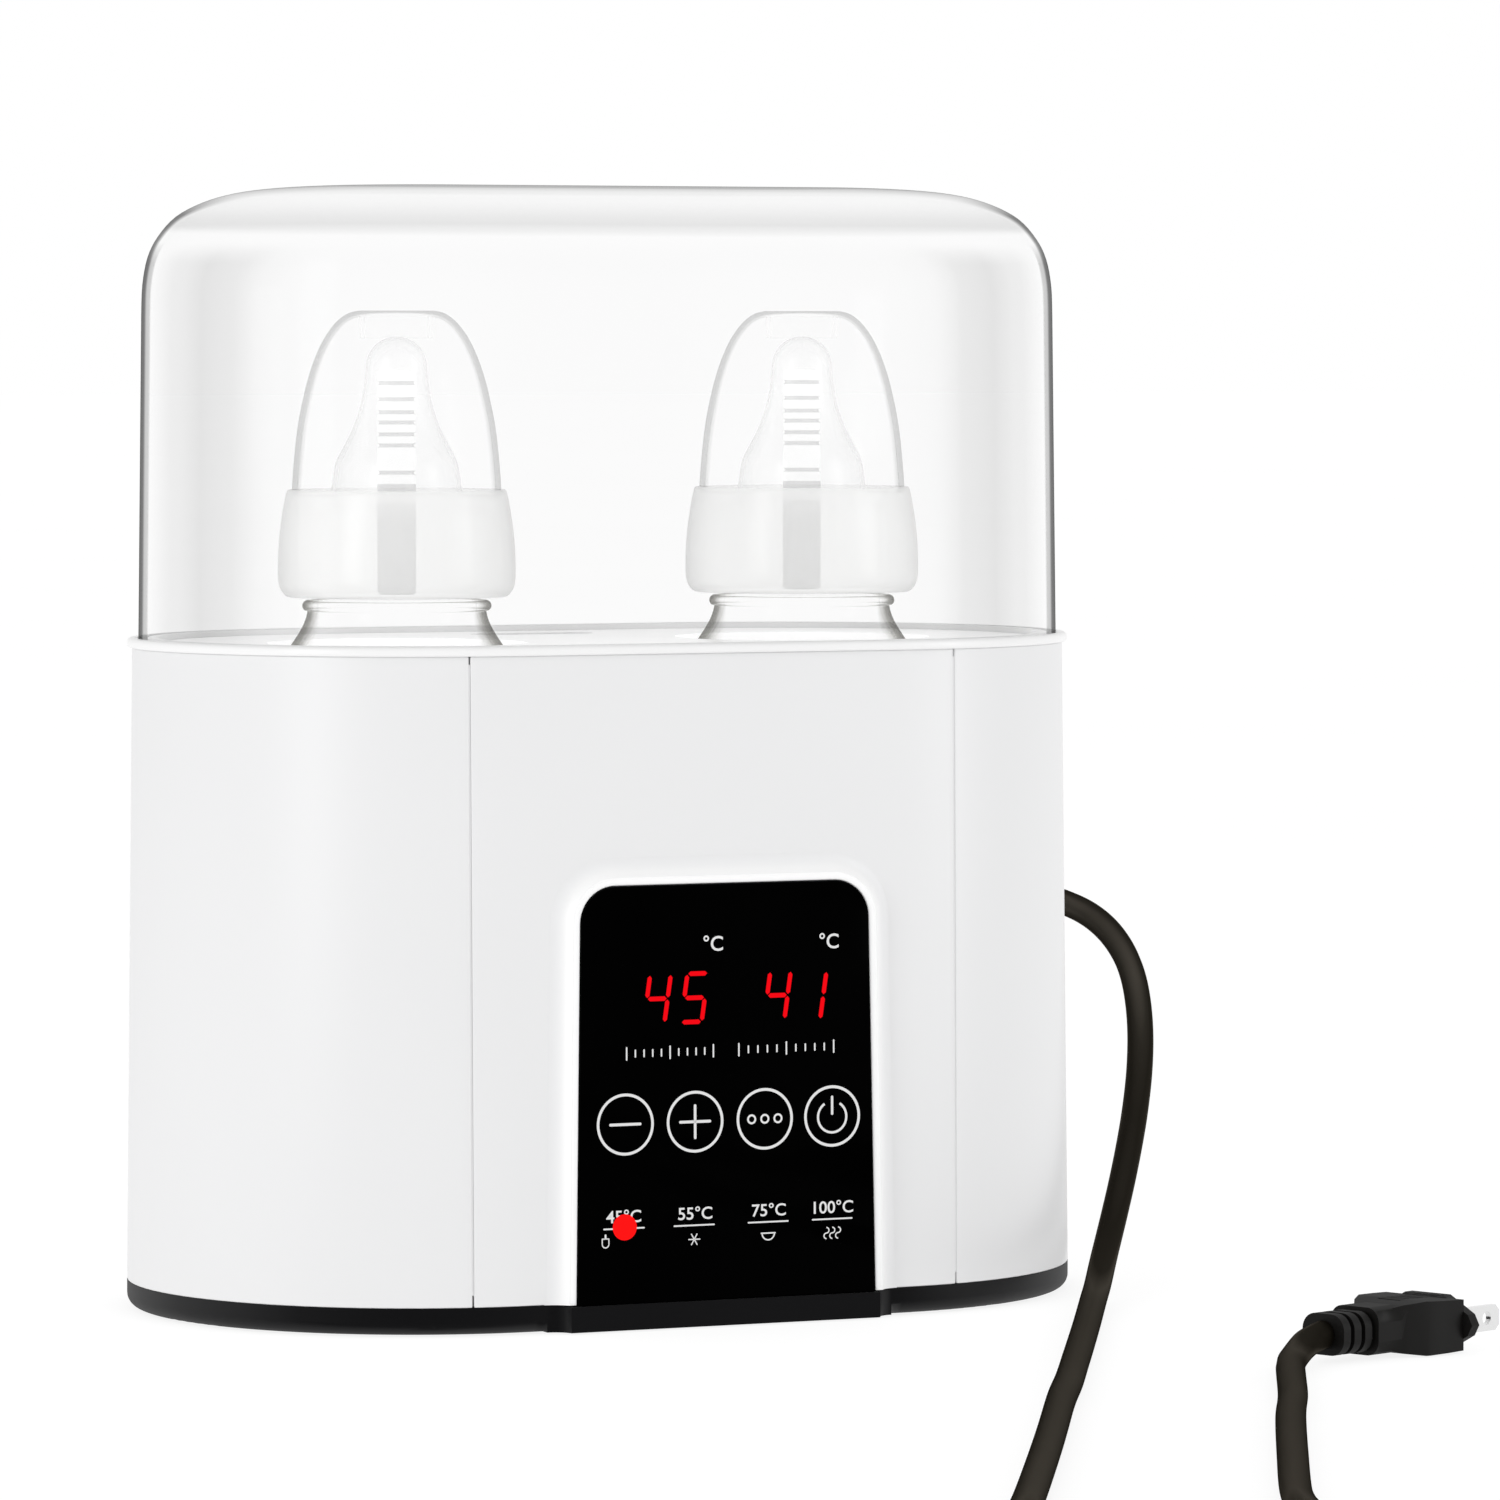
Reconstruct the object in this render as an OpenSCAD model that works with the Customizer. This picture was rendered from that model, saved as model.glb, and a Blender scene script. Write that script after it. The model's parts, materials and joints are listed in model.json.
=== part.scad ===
// Double bottle warmer: a racetrack-shaped water bath with a touch panel, a lift-out rack,
// two feeding bottles and a clear lift-off cover. Millimetres, +Z up, front towards -Y.
// The origin is under the middle of the body, on the surface it stands on.

/* [Body] */
// Length of the body at its base
body_length = 250; // [220:1:280]
// Depth of the body at its base
body_depth = 150; // [140:1:160]
// Height of the rim's top face
rim_top = 170.2; // [165:0.1:180]
// How far each side leans in from base to rim
side_lean = 1.8; // [0:0.1:3]
// Wall thickness of the white casing
casing_wall = 2.4; // [1.8:0.1:3]
// Height of the dark base band above the table
base_top = 7.2; // [6:0.1:10]
// Width of the front fascia between its two seams
fascia_width = 131.6; // [110:0.1:140]

/* [Panel] */
// Width of the black touch panel at its bottom edge
panel_width = 81.2; // [70:0.1:90]
// How much narrower the panel is at its top
panel_taper = 3; // [0:0.1:6]
// Height of the panel's top edge above the base band
panel_height = 103.3; // [90:0.1:115]
// Radius of the panel's top corners
panel_corner = 8; // [4:0.5:14]
// How far the panel stands proud of the fascia
panel_proud = 3.6; // [2.5:0.1:3.8]
// Radius of the cove round the panel surround
cove_radius = 5; // [4:0.1:6]

/* [Cover] */
// Height of the top of the clear cover
cover_top = 284.6; // [275:0.1:300]
// Wall thickness of the clear cover
cover_wall = 2; // [1.5:0.1:3]
// Width of the cover's rounded shoulder
shoulder_width = 45; // [35:1:50]
// Height of the cover's rounded shoulder
shoulder_height = 26.5; // [20:0.5:32]
// Squareness of the shoulder: 2 is an ellipse
shoulder_power = 2.4; // [2:0.1:3]

/* [Water bath] */
// Half depth of the water tank, inside
tank_half_depth = 63; // [60:0.5:64]
// Height of the tank floor's top face
tank_floor = 38; // [36:0.5:42]
// Thickness of the rack's deck
deck_thickness = 2.6; // [2:0.1:3]

/* [Bottles] */
// Distance between the bottle centres
bottle_spacing = 113; // [108:1:118]
// Radius of the bottle's glass body
bottle_radius = 31.5; // [28:0.5:32]
// Radius of the bottle's screw collar
collar_radius = 30; // [27:0.5:32]

/* [Cord] */
// Diameter of the mains cord
cord_diameter = 7; // [6:0.5:8]
// Height of the cord outlet above the table
outlet_height = 100; // [60:1:110]

/* [Hidden] */
$fn = 96;

// Plan: two half circles of half the depth, round centres at +-end_x
base_r = body_depth / 2;
end_x = body_length / 2 - base_r;

// Heights
foot_gap = 0.4;
rim_flange = 2.4;
shell_top = rim_top - rim_flange;
ledge_top = rim_top - 4;
seat_top = rim_top - 1.4;
deck_top = ledge_top + deck_thickness;
top_r = base_r - side_lean;
lean_angle = atan(side_lean / (shell_top - base_top));

// Rim and cover
rim_r = 74.5;
cover_r = 71.6;
cover_shoulder_r = 70.6;
cover_fit = 0.4;
skirt_r = 70.3;
skirt_wall = 1.4;
lip_r = 66.6;

// Fascia and panel
seam_gap = 0.4;
lap_wall = 1.4;
surround_proud = panel_proud - 0.5;
lens_thickness = 2.4;
lens_fit = 0.15;
cove_reach = cove_radius + 1.4;

// Centres of the panel's top corners, and the lean of its sides
panel_cx = (panel_width - panel_taper) / 2 - panel_corner;
panel_cz = panel_height - panel_corner;
panel_side = [panel_width / 2 - panel_cx, panel_cz];
panel_lean = acos(panel_corner / norm(panel_side)) - atan2(panel_side.y, panel_side.x);

// Tank and heater
tank_wall = 1.6;
tank_lip_r = 69;
plate_r = 44;
plate_opening_r = 38;
gasket_height = 1.2;

// Electronics: the control board stands behind the fascia, the power board lies on the base
board_thickness = 1.6;
control_board = [68, 90];
control_board_z = 12;
power_board_size = [92, 56];
power_board_z = 9;
key_xs = [-26.2, -7.4, 11.4, 30.2];
key_z = 44.3;
lamp_z = 18.6;
digit_xs = [-12, 21];
digit_z = 75.4;
digit_window = [64, 22];
digit_window_x = 4.5;

// Screws and feet
foot_xs = [-84, 84];
foot_ys = [-38, 38];
boss_x = 104;
boss_y = 28;
boss_top = 30;
screw_shaft_r = 1.45;
screw_hole_r = 1.6;
screw_bore_r = 1.5;
screw_head_r = 3;
board_screw_x = 20.8;

// Bottle levels
bottle_x = bottle_spacing / 2;
bottle_foot = 44.3;
glass_wall = 2.4;
glass_neck_r = 22.6;
mouth_z = 201;
plate_z = 203.2;
cap_z = 206;
cap_top = 252.9;
well_r = 33;

// Cord: outlet direction and the route of its centre line
outlet_angle = 45;
outlet_reach = 22;
plug_at = [100, -206, 6.9];
plug_turn = 22;
cord_r = cord_diameter / 2;
cord_sides = 10;
cord_route = [
    [117.9, 67.9, 100], [126, 72.5, 99.7], [137.9, 75.1, 98.6], [150.5, 72.9, 96.8],
    [160.4, 66.8, 94.3], [166.5, 58.7, 91.2], [169.6, 50.7, 87.1], [171.2, 43.6, 81.7],
    [171.6, 37.7, 75.3], [170.5, 31.9, 67.9], [167.3, 24.1, 59.5], [161.5, 13.3, 50.6],
    [153.7, 0.2, 42.3], [145.4, -13.2, 35.2], [135.3, -28.7, 26.6], [124.6, -44.5, 17.8],
    [113.5, -61.5, 10.5], [102.5, -80, 5.9], [90, -102, 4], [71, -137, 3.5], [52, -172, 3.5],
    [34, -205, 3.5], [16, -238, 3.5], [-2, -270, 3.5], [-35, -331, 3.5], [-79, -411, 3.5],
    [-94, -437, 3.5], [-110, -461, 3.5], [-125, -487, 3.5], [-129, -505, 3.5], [-123, -522, 3.5],
    [-109, -533.5, 3.5], [-92, -536.5, 3.5], [-76, -531.5, 3.5], [-64, -519, 3.5], [-51, -492, 3.5],
    [-40, -463, 3.5], [-29, -436, 3.5], [2, -375.5, 3.5], [33, -316, 3.5], [50, -285, 3.5],
    [67, -252, 3.5], [78, -231, 3.6], [86, -219, 4.3], [93, -211, 5.8], [100, -206, 6.9]];

// ---- Helpers -------------------------------------------------------------------------------

// Sweeps a section (x outwards from the middle line, y up) round the racetrack plan
module race() {
    for (side = [-1, 1]) {
        translate([side * end_x, 0, 0]) rotate([0, 0, -side * 90]) rotate_extrude(angle = 180) children();
        rotate([0, 0, side * 90 - 90]) translate([-end_x, 0, 0])
            rotate([90, 0, 90]) linear_extrude(2 * end_x) children();
    }
}

// A flat racetrack plate of half depth r between two heights
module race_plate(r, low, high) {
    race() translate([0, low]) square([r, high - low]);
}

// Half depth of the casing's outer face at a height
function casing_r(z) = base_r - (z - base_top) * side_lean / (shell_top - base_top);

// Section of the casing wall: from "skin" to "skin + wall" inside its outer face
module wall_section(skin, wall, low, high) {
    polygon([[casing_r(low) - skin, low], [casing_r(high) - skin, high],
             [casing_r(high) - skin - wall, high], [casing_r(low) - skin - wall, low]]);
}

// Puts a part on the fascia's plane: x across, -y outwards, z up from the base band
module on_front() {
    translate([0, -base_r, base_top]) rotate([-lean_angle, 0, 0]) children();
}

// A round bar between two points
module bar(from, to, r) {
    d = to - from;
    translate(from) rotate([0, acos(d.z / norm(d)), atan2(d.y, d.x)]) cylinder(r = r, h = norm(d));
}

// A point of a route's smooth line, t of the way from its point i to the next
function route_point(route, i, t) =
    let (n = len(route) - 1, a = route[max(0, i - 1)], b = route[i], c = route[min(n, i + 1)],
         d = route[min(n, i + 2)])
    0.5 * (2 * b + (c - a) * t + (2 * a - 5 * b + 4 * c - d) * t * t
           + (3 * b - a - 3 * c + d) * t * t * t);
function unit(v) = v / norm(v);

// A round tube of n sides along a line of points, its ends square to "start" and "end"
module sweep(line, r, n, start, end) {
    last = len(line) - 1;
    points = [for (i = [0 : last])
        let (along = unit(i == 0 ? start : i == last ? end : line[i + 1] - line[i - 1]),
             across = unit(cross(along, [0, 0, 1])), up = cross(across, along))
        for (k = [0 : n - 1]) line[i] + r * (cos(k * 360 / n) * across + sin(k * 360 / n) * up)];
    sides = [for (i = [0 : last - 1], k = [0 : n - 1])
        [i * n + k, i * n + (k + 1) % n, (i + 1) * n + (k + 1) % n, (i + 1) * n + k]];
    polyhedron(points, concat([[for (k = [n - 1 : -1 : 0]) k]], sides,
                              [[for (k = [0 : n - 1]) last * n + k]]), convexity = 10);
}

// A tube along a smooth route, with a ring at each route point and one half way between
module tube(route, r, n, start, end) {
    sweep([for (i = [0 : len(route) - 2], t = [0, 0.5]) route_point(route, i, t),
           route[len(route) - 1]], r, n, start, end);
}

// The panel's outline, grown by "grow": tapered sides that run smoothly into round top corners
module panel_outline(grow) {
    corner = panel_corner + grow;
    inside = corner - 0.02;
    foot = panel_cx + corner * cos(panel_lean) + (panel_cz + 0.3 + corner * sin(panel_lean)) * tan(panel_lean);
    side = [panel_cx + inside * cos(panel_lean), panel_cz + inside * sin(panel_lean)];
    polygon([[-foot, -0.3], [foot, -0.3], side, [panel_cx, panel_cz + inside],
             [-panel_cx, panel_cz + inside], [-side.x, side.y]]);
    for (s = [-1, 1]) translate([s * panel_cx, panel_cz]) circle(corner);
}

// A plate of the panel's outline between two depths of the fascia's plane
module panel_plate(grow, front, back) {
    translate([0, back, 0]) rotate([90, 0, 0]) linear_extrude(back - front) panel_outline(grow);
}

// The round tool that leaves the cove between the panel's surround and the fascia: it is swept
// up one side of the panel, over the top and down the other side
module cove_tool() {
    reach = panel_corner + cove_reach;
    foot = reach * cos(panel_lean) + (panel_cz + 8 + reach * sin(panel_lean)) * tan(panel_lean);
    turn = 90 - panel_lean;
    line = [[-panel_cx - foot, -8],
            for (i = [0 : 10]) let (a = 180 - panel_lean - i * turn / 10)
                [-panel_cx + reach * cos(a), panel_cz + reach * sin(a)],
            for (i = [0 : 10]) let (a = 90 - i * turn / 10)
                [panel_cx + reach * cos(a), panel_cz + reach * sin(a)],
            [panel_cx + foot, -8]];
    rotate([90, 0, 0]) sweep([for (p = line) [p.x, p.y, cove_radius - 0.12]], cove_radius, 28,
                             [0, 1, 0], [0, -1, 0]);
}

module at_bottles(side) {
    translate([side * bottle_x, 0, 0]) children();
}

// ---- Casing --------------------------------------------------------------------------------

module base_section() {
    round = 3.3;
    translate([0, foot_gap]) square([base_r - round, casing_wall]);
    translate([0, foot_gap + round - 0.9]) square([base_r - casing_wall - 0.3, 0.9]);
    translate([base_r - round, foot_gap + round]) circle(round);
    translate([base_r - 5, foot_gap + round]) square([5, base_top - foot_gap - round]);
}

module base_pedestal() {
    front = panel_proud + 0.3;
    half = panel_width / 2 + cove_reach;
    difference() {
        translate([-half, -base_r - front, foot_gap]) cube([2 * half, front + 3, base_top - foot_gap - 0.4]);
        for (side = [-1, 1])
            translate([side * half, -base_r - cove_radius, 0]) cylinder(r = cove_radius, h = base_top + 2);
    }
}

module base_pan() color([0.13, 0.13, 0.14]) {
    vent_xs = [-50 : 12.5 : 50];
    difference() {
        union() {
            difference() {
                race() base_section();
                race_plate(base_r - casing_wall - 1.9, foot_gap + casing_wall, base_top + 1);
            }
            difference() {
                race_plate(base_r - casing_wall - 0.3, foot_gap + 2, base_top + 2.2);
                race_plate(base_r - casing_wall - 1.9, foot_gap, base_top + 3);
            }
            base_pedestal();
            for (x = [-boss_x, boss_x], y = [-boss_y, boss_y])
                translate([x, y, foot_gap]) cylinder(r = 5, h = 4.6);
            for (x = [-1, 1], y = [-1, 1])
                translate([x * (power_board_size.x / 2 - 5), y * (power_board_size.y / 2 - 5), foot_gap])
                    cylinder(r = 3.2, h = power_board_z - foot_gap);
        }
        for (x = foot_xs, y = foot_ys) translate([x, y, 0]) cylinder(r = 6.6, h = foot_gap + 1.2);
        for (x = [-boss_x, boss_x], y = [-boss_y, boss_y]) translate([x, y, 0]) {
            cylinder(r = screw_hole_r, h = 12);
            cylinder(r = screw_head_r + 0.3, h = foot_gap + 2.2);
        }
        for (x = [-1, 1], y = [-1, 1])
            translate([x * (power_board_size.x / 2 - 5), y * (power_board_size.y / 2 - 5), 4])
                cylinder(r = 1.1, h = 12);
        for (x = vent_xs) translate([x - 1.5, -16, 0]) cube([3, 32, 8]);
    }
}

module rubber_feet() color([0.2, 0.2, 0.2]) {
    for (x = foot_xs, y = foot_ys) translate([x, y, 0]) cylinder(r = 6.5, h = foot_gap + 1.2);
}

module screw_boss(side_x, side_y) {
    from = [side_x * boss_x, side_y * boss_y, base_top];
    out = [side_x * (boss_x - end_x), side_y * boss_y, 0];
    turn = atan2(out.y, out.x);
    translate([from.x, from.y, foot_gap + 4.8]) cylinder(r = 4, h = boss_top - foot_gap - 4.8);
    translate([from.x, from.y, base_top + 3]) rotate([0, 0, turn])
        translate([2, -1, 0]) cube([base_r - casing_wall - norm(out) - 1.4, 2, boss_top - base_top - 3]);
}

module outlet_place() {
    translate([end_x, 0, outlet_height]) rotate([0, 0, outlet_angle]) rotate([0, 90, 0]) children();
}

module housing_shell() color([0.93, 0.93, 0.94]) {
    difference() {
        union() {
            difference() {
                race() wall_section(0, casing_wall, base_top, shell_top);
                translate([-fascia_width / 2 - seam_gap, -base_r - 5, 0])
                    cube([fascia_width + 2 * seam_gap, 60, rim_top + 5]);
            }
            for (x = [-1, 1], y = [-1, 1]) screw_boss(x, y);
        }
        for (x = [-boss_x, boss_x], y = [-boss_y, boss_y])
            translate([x, y, 4]) cylinder(r = screw_bore_r, h = 20);
        outlet_place() translate([0, 0, 60]) cylinder(r = 6.2, h = 30);
    }
}

module fascia_wall() {
    intersection() {
        race() wall_section(0, casing_wall, base_top, shell_top);
        translate([-fascia_width / 2, -base_r - 5, 0]) cube([fascia_width, 60, rim_top + 5]);
    }
    // Laps that close the two seams from behind
    for (side = [-1, 1]) {
        intersection() {
            race() wall_section(casing_wall - 0.6, 1, base_top + 3.5, shell_top - 9.5);
            translate([side * (fascia_width / 2 - 4.2) - 3.8, -base_r - 5, 0]) cube([7.6, 60, rim_top]);
        }
        intersection() {
            race() wall_section(casing_wall + 0.2, lap_wall, base_top + 3, shell_top - 9);
            translate([side * (fascia_width / 2 - 1.5) - 6.5, -base_r - 5, 0]) cube([13, 60, rim_top]);
        }
    }
}

module front_fascia() color([0.94, 0.94, 0.95]) {
    difference() {
        union() {
            fascia_wall();
            difference() {
                on_front() difference() {
                    panel_plate(cove_reach, -surround_proud, 1);
                    cove_tool();
                }
                translate([-100, -100, -10]) cube([200, 60, base_top + 10]);
            }
            on_front() for (x = [-1, 1], z = [0, 1])
                translate([x * board_screw_x, 2.2, control_board_z + 5 + z * (control_board.y - 10)])
                    rotate([-90, 0, 0]) cylinder(r = 3, h = 1.9);
        }
        on_front() {
            panel_plate(lens_fit, -10, -panel_proud + lens_thickness);
            translate([digit_window_x - digit_window.x / 2, -5, digit_z - digit_window.y / 2])
                cube([digit_window.x, 9, digit_window.y]);
            for (x = key_xs) {
                translate([x, 5, key_z]) rotate([90, 0, 0]) cylinder(r = 5.5, h = 10);
                translate([x, 5, lamp_z]) rotate([90, 0, 0]) cylinder(r = 2.1, h = 10);
            }
            for (x = [-1, 1], z = [0, 1])
                translate([x * board_screw_x, 1, control_board_z + 5 + z * (control_board.y - 10)])
                    rotate([-90, 0, 0]) cylinder(r = 1.1, h = 6);
        }
    }
}

module rim_section() {
    edge = 1.1;
    difference() {
        union() {
            translate([lip_r, ledge_top]) square([skirt_r - lip_r, rim_top - ledge_top]);
            translate([skirt_r - skirt_wall, shell_top - 8]) square([skirt_wall, 9]);
            translate([skirt_r - 1, shell_top]) square([rim_r - edge - skirt_r + 1, rim_flange]);
            translate([rim_r - edge, shell_top + edge]) circle(edge);
            translate([rim_r - edge, rim_top - edge]) circle(edge);
        }
        translate([cover_r - cover_wall - cover_fit, seat_top]) square([cover_wall + 2 * cover_fit, 3]);
    }
}

module rim_ring() color([0.95, 0.95, 0.95]) race() rim_section();

// ---- Touch panel ---------------------------------------------------------------------------

module panel_lens() color([0.02, 0.02, 0.02]) {
    on_front() panel_plate(0, -panel_proud, -panel_proud + lens_thickness - 0.02);
}

module display_board() color([0.1, 0.35, 0.2]) {
    on_front() difference() {
        translate([-control_board.x / 2, 4.1, control_board_z])
            cube([control_board.x, board_thickness, control_board.y]);
        for (x = [-1, 1], z = [0, 1])
            translate([x * board_screw_x, 3, control_board_z + 5 + z * (control_board.y - 10)])
                rotate([-90, 0, 0]) cylinder(r = 1.3, h = 6);
    }
}

module digit_modules() color([0.3, 0.05, 0.05]) {
    on_front() for (x = digit_xs)
        translate([x - 12.5, -1.1, digit_z - 9]) cube([25, 5.2, 18]);
}

module touch_springs() color([0.75, 0.65, 0.35]) {
    on_front() for (x = key_xs) translate([x, 4.1, key_z]) rotate([90, 0, 0]) difference() {
        union() {
            cylinder(r = 4.6, h = 1);
            cylinder(r = 3.6, h = 4.4);
            translate([0, 0, 4.2]) cylinder(r = 4.6, h = 0.9);
        }
        translate([0, 0, -1]) cylinder(r = 2.8, h = 8);
    }
}

module indicator_leds() color([0.9, 0.2, 0.15]) {
    on_front() for (x = key_xs) translate([x, 4.1, lamp_z]) rotate([90, 0, 0]) {
        cylinder(r = 1.9, h = 1);
        cylinder(r = 1.5, h = 3.6);
        translate([0, 0, 3.6]) sphere(1.5);
    }
}

// ---- Water bath ----------------------------------------------------------------------------

module tank() color([0.88, 0.89, 0.9]) {
    r = tank_half_depth;
    race() {
        translate([plate_opening_r, tank_floor - 2]) square([r - plate_opening_r, 2]);
        translate([r, tank_floor - 2]) square([tank_wall, ledge_top - tank_floor + 2]);
        translate([r, ledge_top - 1.8]) square([tank_lip_r - 1.6 - r, 1.8]);
    }
}

module heating_plate() color([0.72, 0.73, 0.75]) {
    top = tank_floor + gasket_height;
    race_plate(plate_r, top, top + 2);
    race_plate(plate_opening_r - 0.5, top - 6, top + 1);
}

module plate_gasket() color([0.8, 0.3, 0.2]) race()
    translate([plate_opening_r + 0.6, tank_floor]) square([plate_r - plate_opening_r - 1.2, gasket_height]);

module heater_tube() color([0.5, 0.5, 0.52]) {
    z = tank_floor + gasket_height - 6 - 3.6;
    difference() {
        race() translate([20, z]) circle(3.6);
        translate([-9, 10, z - 5]) cube([18, 20, 10]);
    }
    for (side = [-1, 1]) {
        translate([side * 9, 20, z - 6.5]) cylinder(r = 2.2, h = 6.5);
        translate([side * 9, 20, z]) sphere(3.6);
    }
}

module thermostat() color([0.75, 0.72, 0.65]) {
    z = tank_floor + gasket_height - 6;
    translate([-30, 0, z - 6]) cylinder(r = 7.8, h = 6);
    translate([-30, 0, z - 9]) cylinder(r = 6, h = 4);
    for (side = [-1, 1]) translate([-30.4, side * 3.5 - 2, z - 13]) cube([0.8, 4, 5]);
}

module thermal_fuse() color([0.85, 0.85, 0.8]) {
    z = tank_floor + gasket_height - 6 - 3;
    translate([18, 0, z]) rotate([0, 90, 0]) cylinder(r = 2.6, h = 16);
    translate([10, 0, z]) rotate([0, 90, 0]) cylinder(r = 0.8, h = 32);
    for (x = [21, 29]) translate([x, -3.6, z - 3]) cube([2, 7.2, 6]);
}

module water_sensor() color([0.8, 0.8, 0.82]) {
    z = tank_floor + gasket_height - 6;
    translate([0, -12, z - 8]) cylinder(r = 4, h = 8);
    translate([0, -12, z - 10]) cylinder(r = 2.5, h = 3);
}

// ---- Power electronics ---------------------------------------------------------------------

module power_board() color([0.12, 0.4, 0.22]) difference() {
    translate([-power_board_size.x / 2, -power_board_size.y / 2, power_board_z])
        cube([power_board_size.x, power_board_size.y, board_thickness]);
    for (x = [-1, 1], y = [-1, 1])
        translate([x * (power_board_size.x / 2 - 5), y * (power_board_size.y / 2 - 5), 0])
            cylinder(r = 1.4, h = 20);
}

module board_parts() color([0.25, 0.25, 0.3]) translate([0, 0, power_board_z + board_thickness]) {
    translate([-38, -9, 0]) cube([20, 16, 8.6]);
    translate([14, -20, 0]) cube([22, 18, 10]);
    translate([22, 12, 0]) cylinder(r = 5, h = 9);
    translate([34, 12, 0]) cylinder(r = 4, h = 9);
    translate([-10, -24, 0]) cube([14, 8, 8]);
    translate([-36, 14, 0]) cube([10, 8, 7]);
}

// Two insulated leads from the cord outlet down to the power board
module lead_wires() color([0.7, 0.1, 0.1]) {
    path = [[97.3, 47.3, 100], [97.1, 47.1, 97], [97, 46.9, 91], [97.4, 47.4, 60], [97.2, 47, 38],
            [95, 45, 31], [92, 37, 25], [84, 26, 19], [66, 10, 15.5], [52, 3, 13.5], [43, 0, 11.8]];
    for (side = [-1, 1]) {
        shift = side * 2.2 * [-sin(outlet_angle), cos(outlet_angle), 0];
        tube([for (p = path) p + shift], 1.1, 8, [-1, -1, 0], [-1, -0.3, 0]);
    }
}

module case_screws() color([0.6, 0.6, 0.62]) {
    for (x = [-boss_x, boss_x], y = [-boss_y, boss_y]) translate([x, y, foot_gap + 0.4]) {
        cylinder(r = screw_head_r, h = 1.8);
        cylinder(r = screw_shaft_r, h = 18);
    }
}

module board_screws() color([0.6, 0.6, 0.62]) {
    for (x = [-1, 1], y = [-1, 1])
        translate([x * (power_board_size.x / 2 - 5), y * (power_board_size.y / 2 - 5), 0]) {
            translate([0, 0, power_board_z + board_thickness]) cylinder(r = 2.4, h = 1.6);
            translate([0, 0, 5]) cylinder(r = 1.05, h = power_board_z + board_thickness - 4);
        }
    on_front() for (x = [-1, 1], z = [0, 1])
        translate([x * board_screw_x, 0, control_board_z + 5 + z * (control_board.y - 10)]) rotate([-90, 0, 0]) {
            translate([0, 0, 4.1 + board_thickness]) cylinder(r = 2.4, h = 1.4);
            translate([0, 0, 1.4]) cylinder(r = 1.05, h = 4.1 + board_thickness);
        }
}

// ---- Cord and plug -------------------------------------------------------------------------

module cord_gland() color([0.07, 0.07, 0.07]) {
    wall = casing_r(outlet_height);
    end = base_r + outlet_reach - 1;
    outlet_place() {
        translate([0, 0, wall - casing_wall - 3.1]) cylinder(r = 8, h = 2.2);
        translate([0, 0, wall - casing_wall - 1.1]) cylinder(r = 5.9, h = casing_wall + 1.5);
        difference() {
            union() {
                translate([0, 0, wall + 0.2]) cylinder(r = 8.2, h = 2.6);
                translate([0, 0, wall + 2]) cylinder(r1 = 7, r2 = 5, h = end - wall - 2);
            }
            for (i = [0 : 3]) translate([0, 0, wall + 6 + i * 4]) difference() {
                cylinder(r = 9, h = 1.6);
                translate([0, 0, -1]) cylinder(r = 4.6, h = 4);
            }
        }
    }
}

module power_cord() color([0.12, 0.11, 0.1]) {
    tube(cord_route, cord_r, cord_sides, [cos(outlet_angle), sin(outlet_angle), 0],
         [cos(plug_turn), sin(plug_turn), 0]);
}

module plug_place() {
    translate(plug_at) rotate([0, 0, plug_turn]) children();
}

// A block along x with a rounded-rectangle section, w wide and h high
module oval_block(x0, x1, w, h, r) {
    translate([x0, 0, 0]) rotate([90, 0, 90]) linear_extrude(x1 - x0) {
        square([w - 2 * r, h], center = true);
        square([w, h - 2 * r], center = true);
        for (y = [-1, 1], z = [-1, 1]) translate([y * (w / 2 - r), z * (h / 2 - r)]) circle(r);
    }
}

module plug_body() color([0.04, 0.04, 0.04]) plug_place() {
    difference() {
        union() {
            oval_block(0, 14, 8.6, 8, 3.4);
            for (i = [0 : 2]) oval_block(i * 4, i * 4 + 2.6, 13, 10, 4);
            oval_block(11.8, 21, 15, 11.6, 3.6);
            intersection() {
                translate([0, 0, -8]) linear_extrude(16)
                    polygon([[19, -6.2], [22, -8.6], [27, -11.2], [33, -12], [38.4, -12.2],
                             [38.4, 12.2], [33, 12], [27, 11.2], [22, 8.6], [19, 6.2]]);
                translate([0, 16, 0]) rotate([90, 0, 0]) linear_extrude(32)
                    polygon([[18, -5], [21, -5.9], [26, -6.6], [39, -6.2],
                             [39, 6.2], [26, 6.6], [21, 5.9], [18, 5]]);
            }
            translate([38.2, 0, 0]) rotate([90, 0, 90]) linear_extrude(2.8)
                polygon([[-15, 0], [-13.6, -2.6], [-6, -6.8], [6, -6.8], [13.6, -2.6], [15, 0],
                         [13.6, 2.6], [6, 6.8], [-6, 6.8], [-13.6, 2.6]]);
        }
        for (i = [0 : 6], s = [-1, 1])
            translate([24.4 + i * 1.7, -3.6, s * 6.5 - 0.3]) cube([0.8, 7.2, 0.6]);
    }
}

module plug_blades() color([0.75, 0.75, 0.77]) plug_place() {
    for (side = [-1, 1]) translate([41, side * 6.35 - 0.75, 0]) difference() {
        rotate([-90, 0, 0]) linear_extrude(1.5)
            polygon([[0, -3.15], [16, -3.15], [17.4, -1.8], [17.4, 1.8], [16, 3.15], [0, 3.15]]);
        translate([12.6, -1, 0]) rotate([-90, 0, 0]) cylinder(r = 1.6, h = 4);
    }
}

// ---- Cover and rack ------------------------------------------------------------------------

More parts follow.
